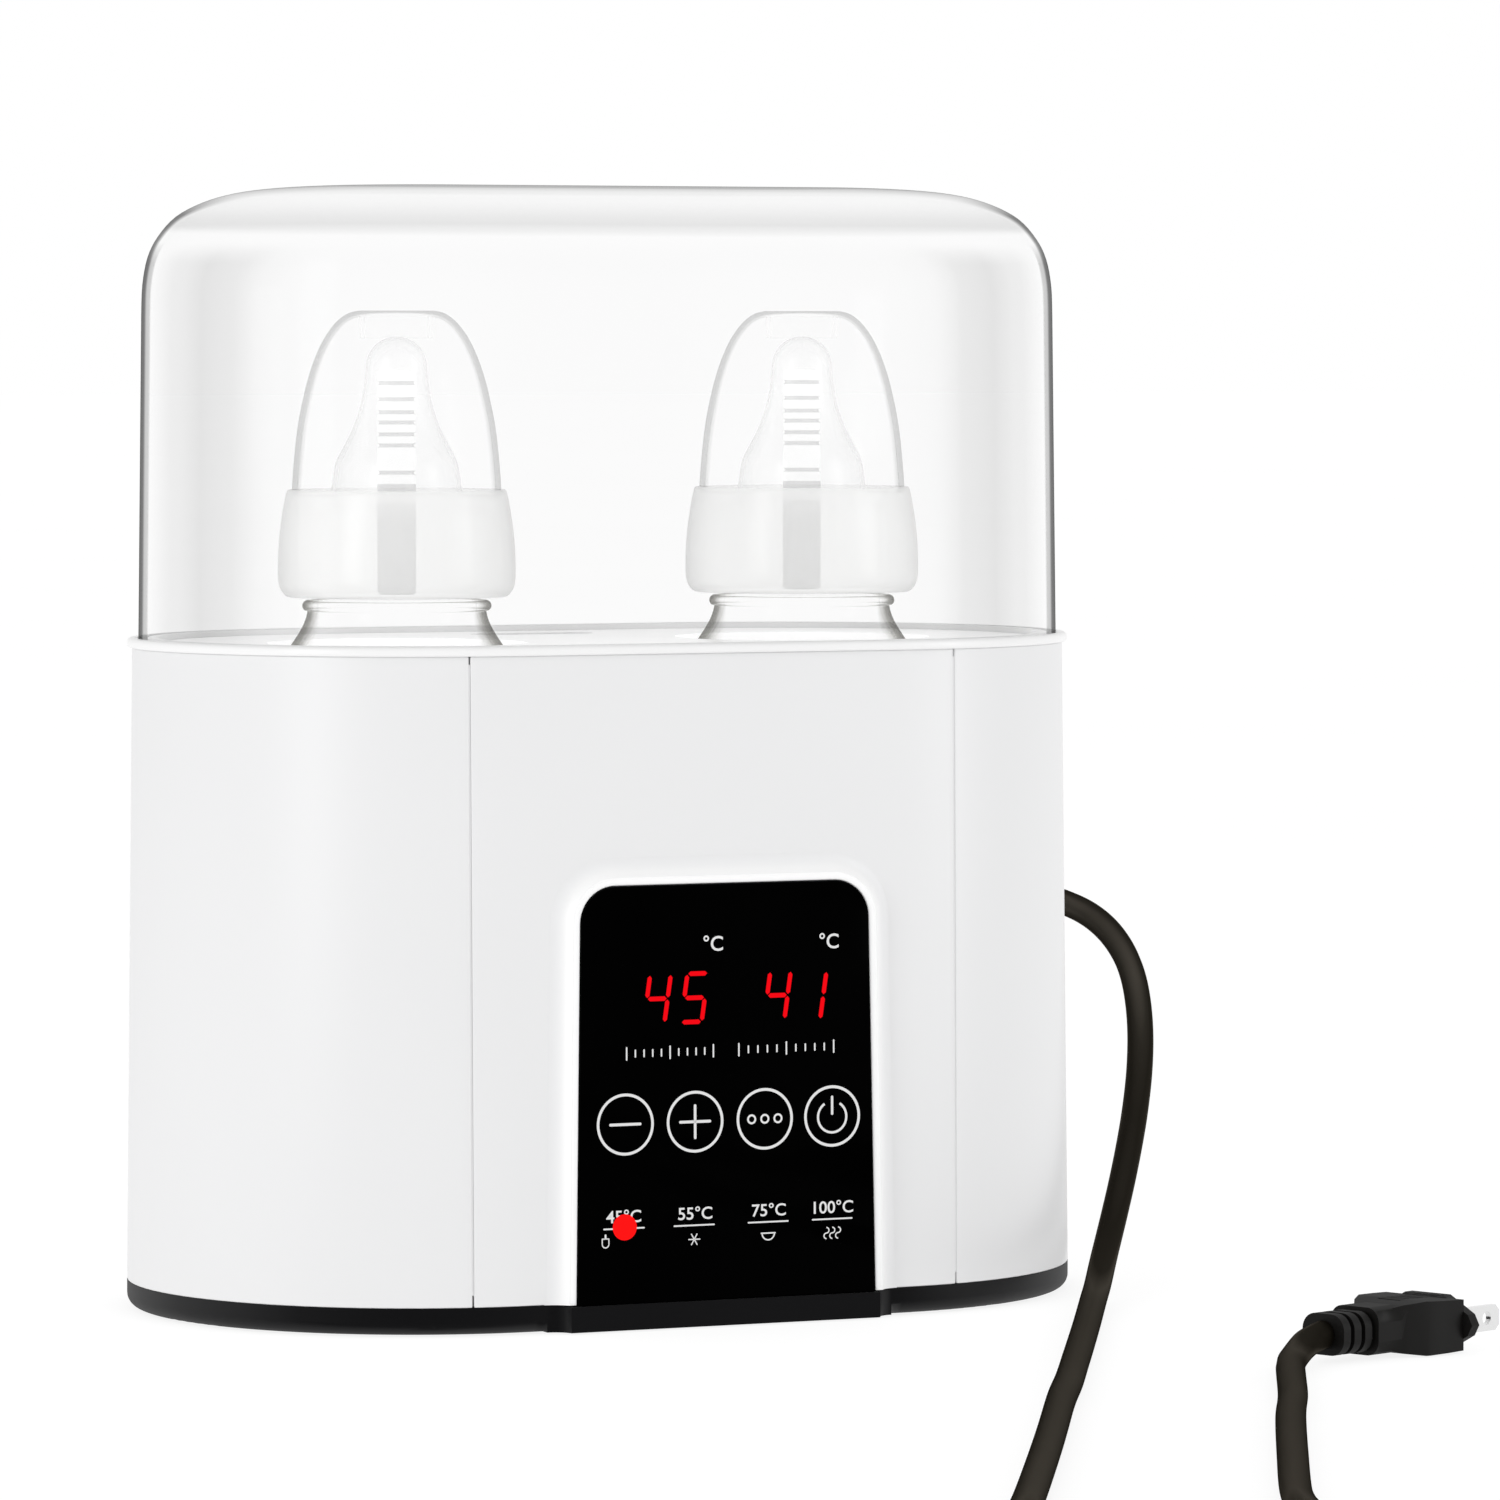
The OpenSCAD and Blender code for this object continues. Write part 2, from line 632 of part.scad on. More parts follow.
// Half section of the cover's outer face, moved inwards by "inset"
function cover_outline(inset) =
    let (steps = 20, a = shoulder_width - inset, b = shoulder_height - inset,
         x0 = cover_shoulder_r - shoulder_width, z0 = cover_top - shoulder_height)
    concat([[0, seat_top - (inset > 0 ? 1 : 0)], [cover_r - inset, seat_top - (inset > 0 ? 1 : 0)]],
           [for (i = [0 : steps]) let (t = i * 90 / steps)
               [x0 + a * pow(cos(t), 2 / shoulder_power), z0 + b * pow(sin(t), 2 / shoulder_power)]],
           [[0, z0 + b]]);

module clear_cover() color([0.85, 0.9, 0.95, 0.35]) {
    race() difference() {
        polygon(cover_outline(0));
        polygon(cover_outline(cover_wall));
    }
}

module rack_well() {
    low = tank_floor + gasket_height + 2.3;
    difference() {
        translate([0, 0, low]) cylinder(r = well_r + 2, h = 4.6);
        translate([0, 0, low + 2.6]) cylinder(r = well_r, h = 5);
        translate([0, 0, low - 1]) cylinder(r = 14, h = 6);
        for (a = [0 : 60 : 300]) rotate([0, 0, a]) translate([23, 0, low - 1]) cylinder(r = 6, h = 6);
    }
    // A short tube under the deck's hole, and straps down to the well's floor
    translate([0, 0, ledge_top - 13]) difference() {
        cylinder(r = well_r + 2, h = 13.5);
        translate([0, 0, -1]) cylinder(r = well_r + 0.2, h = 16);
    }
    for (a = [45 : 90 : 315]) rotate([0, 0, a])
        translate([well_r + 0.2, -3, low + 2]) cube([1.8, 6, ledge_top - low - 1]);
}

module bottle_rack() color([0.96, 0.96, 0.96]) {
    difference() {
        race_plate(lip_r - 0.4, ledge_top, deck_top);
        for (side = [-1, 1]) at_bottles(side) translate([0, 0, ledge_top - 1]) cylinder(r = well_r, h = 6);
        for (y = [-46, 46]) {
            translate([-11, y - 6, ledge_top - 1]) cube([22, 12, 6]);
            for (x = [-11, 11]) translate([x, y, ledge_top - 1]) cylinder(r = 6, h = 6);
        }
    }
    for (side = [-1, 1]) at_bottles(side) rack_well();
}

// ---- Bottles -------------------------------------------------------------------------------

// Glass half section: a round shoulder runs from the body to the neck
function shoulder_line(inset) =
    let (low = 158, high = 178, steps = 12)
    [for (i = [0 : steps]) let (t = i / steps)
        [glass_neck_r - inset + (bottle_radius - glass_neck_r) * (1 + cos(180 * t)) / 2,
         low + (high - low) * t]];

module glass_section() {
    foot = 6;
    difference() {
        union() {
            polygon(concat([[0, bottle_foot + foot], [bottle_radius, bottle_foot + foot]], shoulder_line(0),
                           [[glass_neck_r, mouth_z], [0, mouth_z]]));
            translate([bottle_radius - foot, bottle_foot + foot]) circle(foot);
            translate([0, bottle_foot]) square([bottle_radius - foot, foot + 1]);
            translate([glass_neck_r, 178.2]) circle(1.4);
            for (z = [185, 190, 195]) translate([glass_neck_r - 0.2, z]) circle(0.8);
        }
        polygon(concat([[-1, bottle_foot + 4], [bottle_radius - glass_wall - 4, bottle_foot + 4],
                        [bottle_radius - glass_wall, bottle_foot + 8]], shoulder_line(glass_wall),
                       [[glass_neck_r - glass_wall, mouth_z + 1], [-1, mouth_z + 1]]));
    }
}

module glass() color([0.9, 0.95, 0.95, 0.4]) rotate_extrude() intersection() {
    glass_section();
    translate([0, bottle_foot]) square([60, 300]);
}

// Outer line of the screw collar, from its rounded foot to its top edge
collar_line = [[collar_radius - 3.4, 180], [collar_radius - 1.6, 180.9], [collar_radius - 0.4, 182.6],
               [collar_radius + 0.1, 185], [collar_radius + 0.1, 190], [collar_radius - 0.1, 194],
               [collar_radius - 0.5, 198], [collar_radius - 1, 201.5], [collar_radius - 1.5, 204.4],
               [collar_radius - 2, 206.8], [collar_radius - 2.5, 207.6]];

module collar() color([0.96, 0.96, 0.97, 0.8]) rotate_extrude() difference() {
    polygon(concat([[17, 180]], collar_line, [[17, 207.6]]));
    translate([-1, 170]) square([glass_neck_r + 1.9, plate_z - 170]);
    translate([-1, cap_z]) square([28, 10]);
    translate([-1, 170]) square([18, 60]);
}

// Outer line of the nipple above its flange: a bell that narrows to a ribbed teat
nipple_line = [[16.6, 207], [16.2, 210], [15.4, 214.5], [13.4, 218.5], [11.6, 222], [10.2, 225.5],
               [9, 229.5], [8.2, 234], [7.7, 239.5]];

module nipple() color([0.97, 0.95, 0.9, 0.7]) rotate_extrude() difference() {
    union() {
        polygon(concat([[0, mouth_z], [21.8, mouth_z], [21.8, plate_z - 0.1], [16.6, plate_z - 0.1]],
                       nipple_line, [[0, 239.5]]));
        intersection() {
            translate([0, 238.6]) circle(7.75);
            translate([0, 238]) square([10, 10]);
        }
        for (i = [0 : 4]) translate([lookup(219 + i * 3, [for (p = nipple_line) [p.y, p.x]]) - 0.3, 219 + i * 3])
            circle(0.7);
    }
    polygon(concat([[-1, mouth_z - 1], [14.8, mouth_z - 1]], [for (p = nipple_line) [p.x - 1.8, p.y - 0.4]],
                   [[4, 242], [1.2, 244], [-1, 244]]));
    translate([-1, 240]) square([1.3, 10]);
}

// Outer and inner line of the dust cap
cap_line = [[26.6, 206], [26.4, 210], [26, 215], [25.5, 220], [24.8, 225], [23.8, 230], [22.6, 235],
            [21, 240], [19.2, 244.2], [17.6, 247], [15.8, 249.4], [13.9, 251.2], [11.8, 252.4],
            [9.5, cap_top]];
cap_inside = [[25.3, 205], [25.1, 210], [24.7, 215], [24.2, 219.9], [23.5, 224.8], [22.5, 229.6],
              [21.4, 234.4], [19.9, 239.2], [18.1, 243.3], [16.6, 245.9], [14.9, 248.2],
              [13.2, 249.9], [11.3, 251], [9.4, cap_top - 1.4]];

module cap() color([0.92, 0.95, 0.97, 0.35]) rotate_extrude() {
    difference() {
        polygon(concat([[0, cap_z]], cap_line, [[0, cap_top]]));
        polygon(concat([[-1, 205]], cap_inside, [[-1, cap_top - 1.4]]));
    }
    translate([8.2, cap_top - 7]) square([1, 6.3]);
}

module left_glass() at_bottles(-1) glass();
module left_collar() at_bottles(-1) collar();
module left_nipple() at_bottles(-1) nipple();
module left_cap() at_bottles(-1) cap();
module right_glass() at_bottles(1) glass();
module right_collar() at_bottles(1) collar();
module right_nipple() at_bottles(1) nipple();
module right_cap() at_bottles(1) cap();

base_pan();
rubber_feet();
housing_shell();
front_fascia();
rim_ring();
panel_lens();
display_board();
digit_modules();
touch_springs();
indicator_leds();
tank();
heating_plate();
plate_gasket();
heater_tube();
thermostat();
thermal_fuse();
water_sensor();
power_board();
board_parts();
lead_wires();
case_screws();
board_screws();
cord_gland();
power_cord();
plug_body();
plug_blades();
clear_cover();
bottle_rack();
left_glass();
left_collar();
left_nipple();
left_cap();
right_glass();
right_collar();
right_nipple();
right_cap();
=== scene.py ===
import bpy
import bmesh
import json
import math
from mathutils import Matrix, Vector

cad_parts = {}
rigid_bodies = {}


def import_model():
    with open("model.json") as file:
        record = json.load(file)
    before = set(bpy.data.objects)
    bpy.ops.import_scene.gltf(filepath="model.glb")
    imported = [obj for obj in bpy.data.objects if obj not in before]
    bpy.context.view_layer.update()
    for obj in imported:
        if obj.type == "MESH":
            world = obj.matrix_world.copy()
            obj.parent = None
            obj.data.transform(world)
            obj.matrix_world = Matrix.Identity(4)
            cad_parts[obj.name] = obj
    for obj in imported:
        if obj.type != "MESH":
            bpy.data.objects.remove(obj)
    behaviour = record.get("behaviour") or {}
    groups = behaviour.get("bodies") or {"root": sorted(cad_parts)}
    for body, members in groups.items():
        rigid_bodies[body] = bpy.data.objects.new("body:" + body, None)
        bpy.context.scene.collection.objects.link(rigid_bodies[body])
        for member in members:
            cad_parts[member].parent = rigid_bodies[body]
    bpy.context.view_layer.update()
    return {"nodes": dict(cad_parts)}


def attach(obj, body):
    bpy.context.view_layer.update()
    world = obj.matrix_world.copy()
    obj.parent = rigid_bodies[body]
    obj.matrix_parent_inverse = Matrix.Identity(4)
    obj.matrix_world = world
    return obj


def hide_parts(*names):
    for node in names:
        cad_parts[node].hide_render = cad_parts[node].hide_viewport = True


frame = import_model()
nodes = frame["nodes"]
scene = bpy.context.scene
MM = 0.001
WHITE = (1.0, 1.0, 1.0)

# ---- Camera ---------------------------------------------------------------------------------


def add_camera():
    eye = Vector((-0.86847, -2.01852, 0.24729))
    aim = Vector((0.03485, -0.01537, 0.14034))
    turn = (aim - eye).to_track_quat("-Z", "Y").to_euler()
    bpy.ops.object.camera_add(location=eye, rotation=turn)
    camera = bpy.context.object
    camera.data.sensor_width = 36
    camera.data.lens = 205.694
    camera.data.clip_start = 0.05
    scene.camera = camera


add_camera()

# ---- Materials ------------------------------------------------------------------------------


class Finish:
    """A finish's node tree, with short calls to add and join nodes."""

    def __init__(self, name):
        self.material = bpy.data.materials.new(name)
        self.material.use_nodes = True
        self.tree = self.material.node_tree
        self.tree.nodes.clear()
        self.out = self.add("ShaderNodeOutputMaterial")
        self.coords = self.add("ShaderNodeTexCoord").outputs["Object"]

    def add(self, kind, **settings):
        node = self.tree.nodes.new(kind)
        for key, value in settings.items():
            setattr(node, key, value)
        return node

    def join(self, source, target):
        self.tree.links.new(source, target)

    def noise(self, scale, detail=3.0, stretch=None):
        """A noise value from 0 to 1 in the object's own metres."""
        coords = self.coords
        if stretch:
            mapping = self.add("ShaderNodeMapping")
            mapping.inputs["Scale"].default_value = stretch
            self.join(coords, mapping.inputs["Vector"])
            coords = mapping.outputs["Vector"]
        node = self.add("ShaderNodeTexNoise")
        node.inputs["Scale"].default_value = scale
        node.inputs["Detail"].default_value = detail
        self.join(coords, node.inputs["Vector"])
        return node.outputs["Fac"]

    def remap(self, value, low, high):
        node = self.add("ShaderNodeMapRange")
        node.inputs["To Min"].default_value = low
        node.inputs["To Max"].default_value = high
        self.join(value, node.inputs["Value"])
        return node.outputs["Result"]

    def ramp(self, value, stops):
        node = self.add("ShaderNodeValToRGB")
        ramp = node.color_ramp
        while len(ramp.elements) < len(stops):
            ramp.elements.new(0.5)
        for element, (at, colour) in zip(ramp.elements, stops):
            element.position = at
            element.color = (*colour, 1) if isinstance(colour, tuple) else (*[colour] * 3, 1)
        self.join(value, node.inputs["Fac"])
        return node.outputs["Color"]

    def bump(self, height, distance, strength=1.0):
        node = self.add("ShaderNodeBump")
        node.inputs["Strength"].default_value = strength
        node.inputs["Distance"].default_value = distance
        self.join(height, node.inputs["Height"])
        return node.outputs["Normal"]

    def facing(self):
        """How far the surface turns away: 0 face on, 1 edge on."""
        node = self.add("ShaderNodeLayerWeight")
        node.inputs["Blend"].default_value = 0.5
        return node.outputs["Facing"]

    def mix(self, amount, first, second):
        node = self.add("ShaderNodeMixShader")
        if isinstance(amount, float):
            node.inputs["Fac"].default_value = amount
        else:
            self.join(amount, node.inputs["Fac"])
        self.join(first, node.inputs[1])
        self.join(second, node.inputs[2])
        return node.outputs[0]

    def shader(self, kind, colour=None, **sockets):
        node = self.add(kind)
        if colour is not None:
            node.inputs["Color"].default_value = (*colour, 1)
        for key, value in sockets.items():
            node.inputs[key].default_value = value
        return node

    def both(self, first, second):
        """The light of two shaders together."""
        node = self.add("ShaderNodeAddShader")
        self.join(first.outputs[0], node.inputs[0])
        self.join(second.outputs[0], node.inputs[1])
        return node

    def maths(self, operation, *values):
        """A value worked out from plain numbers and other nodes' values."""
        node = self.add("ShaderNodeMath", operation=operation)
        for socket, value in zip(node.inputs, values):
            if isinstance(value, float):
                socket.default_value = value
            else:
                self.join(value, socket)
        return node.outputs[0]

    def split(self, vector):
        """A vector's three parts."""
        node = self.add("ShaderNodeSeparateXYZ")
        self.join(vector, node.inputs[0])
        return node.outputs

    def blend(self, amount, first, second, way="MIX"):
        """A mix of two colours."""
        node = self.add("ShaderNodeMixRGB", blend_type=way)
        if isinstance(amount, float):
            node.inputs["Fac"].default_value = amount
        else:
            self.join(amount, node.inputs["Fac"])
        self.join(first, node.inputs["Color1"])
        self.join(second, node.inputs["Color2"])
        return node.outputs["Color"]

    def over(self, facing, below, gloss, rough):
        """A clear gloss over a shader, as an even amount or by stops as it turns away."""
        shine = self.add("ShaderNodeBsdfGlossy")
        uneven = self.remap(self.noise(60, 2), rough * 0.8, rough * 1.2)
        self.join(uneven, shine.inputs["Roughness"])
        amount = gloss if isinstance(gloss, float) else self.ramp(facing, gloss)
        return self.mix(amount, below.outputs[0], shine.outputs[0])

    def done(self, surface):
        self.join(surface, self.out.inputs["Surface"])
        return self.material


def moulded(name, colour, rough, metal=0.0, specular=0.5, grain=900, depth=0.00001, spread=0.04,
            tint=0.02, glow=None, stretch=None):
    """A solid finish whose gloss, tone and surface vary a little, as moulded and drawn parts do."""
    f = Finish(name)
    body = f.add("ShaderNodeBsdfPrincipled")
    body.inputs["Metallic"].default_value = metal
    body.inputs["Specular IOR Level"].default_value = specular
    fine = f.noise(grain, 3, stretch)
    dark = tuple(max(0.0, c * (1 - tint)) for c in colour)
    light = tuple(min(1.0, c * (1 + tint)) for c in colour)
    f.join(f.ramp(f.noise(14, 2), [(0.3, dark), (0.7, light)]), body.inputs["Base Color"])
    f.join(f.remap(fine, rough - spread, rough + spread), body.inputs["Roughness"])
    if depth:
        f.join(f.bump(fine, depth, 0.5), body.inputs["Normal"])
    # The glow is the part's own light: real in the display lamps, painted light on the rim, the
    # print and the rack
    if glow:
        body.inputs["Emission Color"].default_value = (*glow[:3], 1)
        body.inputs["Emission Strength"].default_value = glow[3]
    return f.done(body.outputs["BSDF"])


def clear_wall(name, stops, gloss=0.04, rough=0.04, tint=None, streaks=0.0):
    """A thin clear wall that darkens towards its edges by the stops, under a light gloss."""
    f = Finish(name)
    facing = f.facing()
    if streaks:
        wave = f.remap(f.noise(160, 2, (1, 1, 0.06)), -streaks, streaks)
        facing = f.maths("ADD", facing, wave)
    through = f.add("ShaderNodeBsdfTransparent")
    if tint:
        stops = [(at, tuple(v ** t for t in tint)) for at, v in stops]
    f.join(f.ramp(facing, stops), through.inputs["Color"])
    return f.done(f.over(facing, through, gloss, rough))


# How clear the cover is as it turns away: its walls, its shoulder and its nearly flat top
# The walls' stops dip to grey near 0.38 and come back to fully clear at 0.74 before the dark edge:
# painted reflection bands over the real darkening towards the edge
COVER_WALLS = [(0.0, 0.99), (0.13, 0.978), (0.19, 0.96), (0.26, 0.912), (0.38, 0.885),
               (0.48, 0.925), (0.55, 0.933), (0.63, 0.965), (0.74, 1.0), (0.765, 0.8),
               (0.81, 0.76), (0.85, 0.4), (0.92, 0.33), (1.0, 0.1)]
COVER_SHOULDER = [(0.0, 1.0), (0.82, 1.0), (0.88, 0.5), (1.0, 0.36)]
COVER_FLAT = [(0.0, 1.0), (0.84, 1.0), (0.92, 0.87), (0.96, 0.78), (0.98, 0.58), (1.0, 0.4)]
# A painted grey band on the shoulder, set by how far the surface looks up, not by any light
COVER_PAINTED_BAND = [(0.0, 1.0), (0.60, 0.99), (0.66, 0.89), (0.75, 0.9), (0.85, 0.93), (0.97, 0.99)]
COVER_GLOSS = [(0.0, 0.003), (0.35, 0.004), (0.7, 0.02), (1.0, 0.12)]


def cover_clear():
    """The cover's outer face. Its upright walls and its rounded top darken by different stops, as
    the walls turn away round the plan and the top turns away upwards. The walls' stops and the band
    on the shoulder also paint in grey bands and a clear streak: painted reflections."""
    f = Finish("cover_clear")
    facing = f.facing()
    normal = f.add("ShaderNodeNewGeometry").outputs["Normal"]
    up = f.maths("ABSOLUTE", f.split(normal)["Z"])
    flatness = f.ramp(up, [(0.0, 0.0), (0.82, 0.0), (0.97, 1.0)])
    top = f.blend(flatness, f.ramp(facing, COVER_SHOULDER), f.ramp(facing, COVER_FLAT))
    top = f.blend(1.0, top, f.ramp(up, COVER_PAINTED_BAND), "MULTIPLY")
    wall_to_top = f.ramp(up, [(0.0, 0.0), (0.25, 0.0), (0.5, 1.0)])
    through = f.add("ShaderNodeBsdfTransparent")
    tone = f.blend(wall_to_top, f.ramp(facing, COVER_WALLS), top)
    f.join(tone, through.inputs["Color"])
    return f.done(f.over(facing, through, COVER_GLOSS, 0.05))


def milky(name, colour, haze, glow_through=0.4, gloss=0.03, edge=None, lift=0.0, shade=1.0,
          turn=0.6):
    """A cloudy wall: part of what is behind shows, and the rest is lit from both sides. The edge
    gives the haze where the wall is seen edge on, the lift an even glow of its own, a painted
    light, and the shade how much of its tone is left at the edge, a painted shade as the wall turns
    away.
    The haze starts to grow at the turn."""
    f = Finish(name)
    through = f.shader("ShaderNodeBsdfTransparent")
    shaded = tuple(c * shade for c in colour)
    # Painted shade: the tone darkens towards the edge as the wall turns away
    tone = f.ramp(f.facing(), [(0.0, colour), (0.3, colour), (0.8, shaded)])
    front = f.shader("ShaderNodeBsdfDiffuse")
    back = f.shader("ShaderNodeBsdfTranslucent")
    f.join(tone, front.inputs["Color"])
    f.join(tone, back.inputs["Color"])
    lit = f.mix(glow_through, front.outputs[0], back.outputs[0])
    # Painted light: an even glow, though the wall is no lamp
    if lift:
        painted_glow_light = f.shader("ShaderNodeEmission", WHITE, Strength=lift)
        lit = f.both(lit.node, painted_glow_light).outputs[0]
    stops = [(0.0, haze), (turn, haze), (1.0, haze if edge is None else edge)]
    cloud = f.remap(f.noise(40, 2), -0.03, 0.03)
    amount = f.maths("ADD", f.ramp(f.facing(), stops), cloud)
    body = f.mix(amount, through.outputs[0], lit)
    shine = f.shader("ShaderNodeBsdfGlossy", WHITE, Roughness=0.3)
    return f.done(f.mix(gloss, body, shine.outputs[0]))


def satin_black(name, tone, stops, rough=0.45, grain=500, depth=0.00002, sheen=WHITE):
    """Black plastic or rubber under a sheen whose strength follows the stops as it turns away."""
    f = Finish(name)
    fine = f.noise(grain, 3)
    body = f.add("ShaderNodeBsdfDiffuse")
    dark, light = (tuple(c * part for c in tone) for part in (0.9, 1.1))
    f.join(f.ramp(f.noise(14, 2), [(0.3, dark), (0.7, light)]), body.inputs["Color"])
    shine = f.shader("ShaderNodeBsdfGlossy", sheen)
    f.join(f.remap(fine, rough - 0.05, rough + 0.05), shine.inputs["Roughness"])
    normal = f.bump(fine, depth, 0.5)
    f.join(normal, body.inputs["Normal"])
    f.join(normal, shine.inputs["Normal"])
    return f.done(f.mix(f.ramp(f.facing(), stops), body.outputs[0], shine.outputs[0]))


def panel_gloss(name):
    """Black glass that is plain black face on and mirrors only what it meets at a slant."""
    f = Finish(name)
    body = f.shader("ShaderNodeBsdfDiffuse")
    f.join(f.ramp(f.noise(30, 2), [(0.3, 0.0004), (0.7, 0.0006)]), body.inputs["Color"])
    shine = f.add("ShaderNodeBsdfGlossy")
    f.join(f.remap(f.noise(300, 2), 0.05, 0.09), shine.inputs["Roughness"])
    amount = f.ramp(f.facing(), [(0.0, 0.0), (0.3, 0.0008), (0.55, 0.02), (0.8, 0.12), (1.0, 0.6)])
    return f.done(f.mix(amount, body.outputs[0], shine.outputs[0]))


CASING = (0.778, 0.779, 0.784)
# The leaning front, in metres: how far it goes back per metre of height, how far forward it would
# meet the table, and how far the surround stands proud of it
FRONT_SLOPE, FRONT_FOOT, SURROUND_HEIGHT = 0.0112, 0.07508, 1 / 300


def surround_painted_highlight():
    """White that is brightest where the surround stands proud of the casing and has the casing's
    tone at its foot: a painted highlight on what is the casing's own plastic."""
    f = Finish("surround_painted_highlight")
    body = f.add("ShaderNodeBsdfPrincipled")
    body.inputs["Specular IOR Level"].default_value = 0.4
    at = f.split(f.coords)
    front = f.maths("MULTIPLY_ADD", at["Z"], -FRONT_SLOPE, FRONT_FOOT)
    proud = f.maths("MULTIPLY", f.maths("ADD", at["Y"], front), -1 / SURROUND_HEIGHT)
    # Painted highlight: lighter as the surround stands proud, though it is the casing's white
    tone = f.ramp(proud, [(0.0, CASING), (0.12, (0.81, 0.812, 0.818)), (0.45, 0.9), (0.8, 0.95)])
    f.join(tone, body.inputs["Base Color"])
    f.join(f.remap(f.noise(900), 0.3, 0.4), body.inputs["Roughness"])
    return f.done(body.outputs["BSDF"])


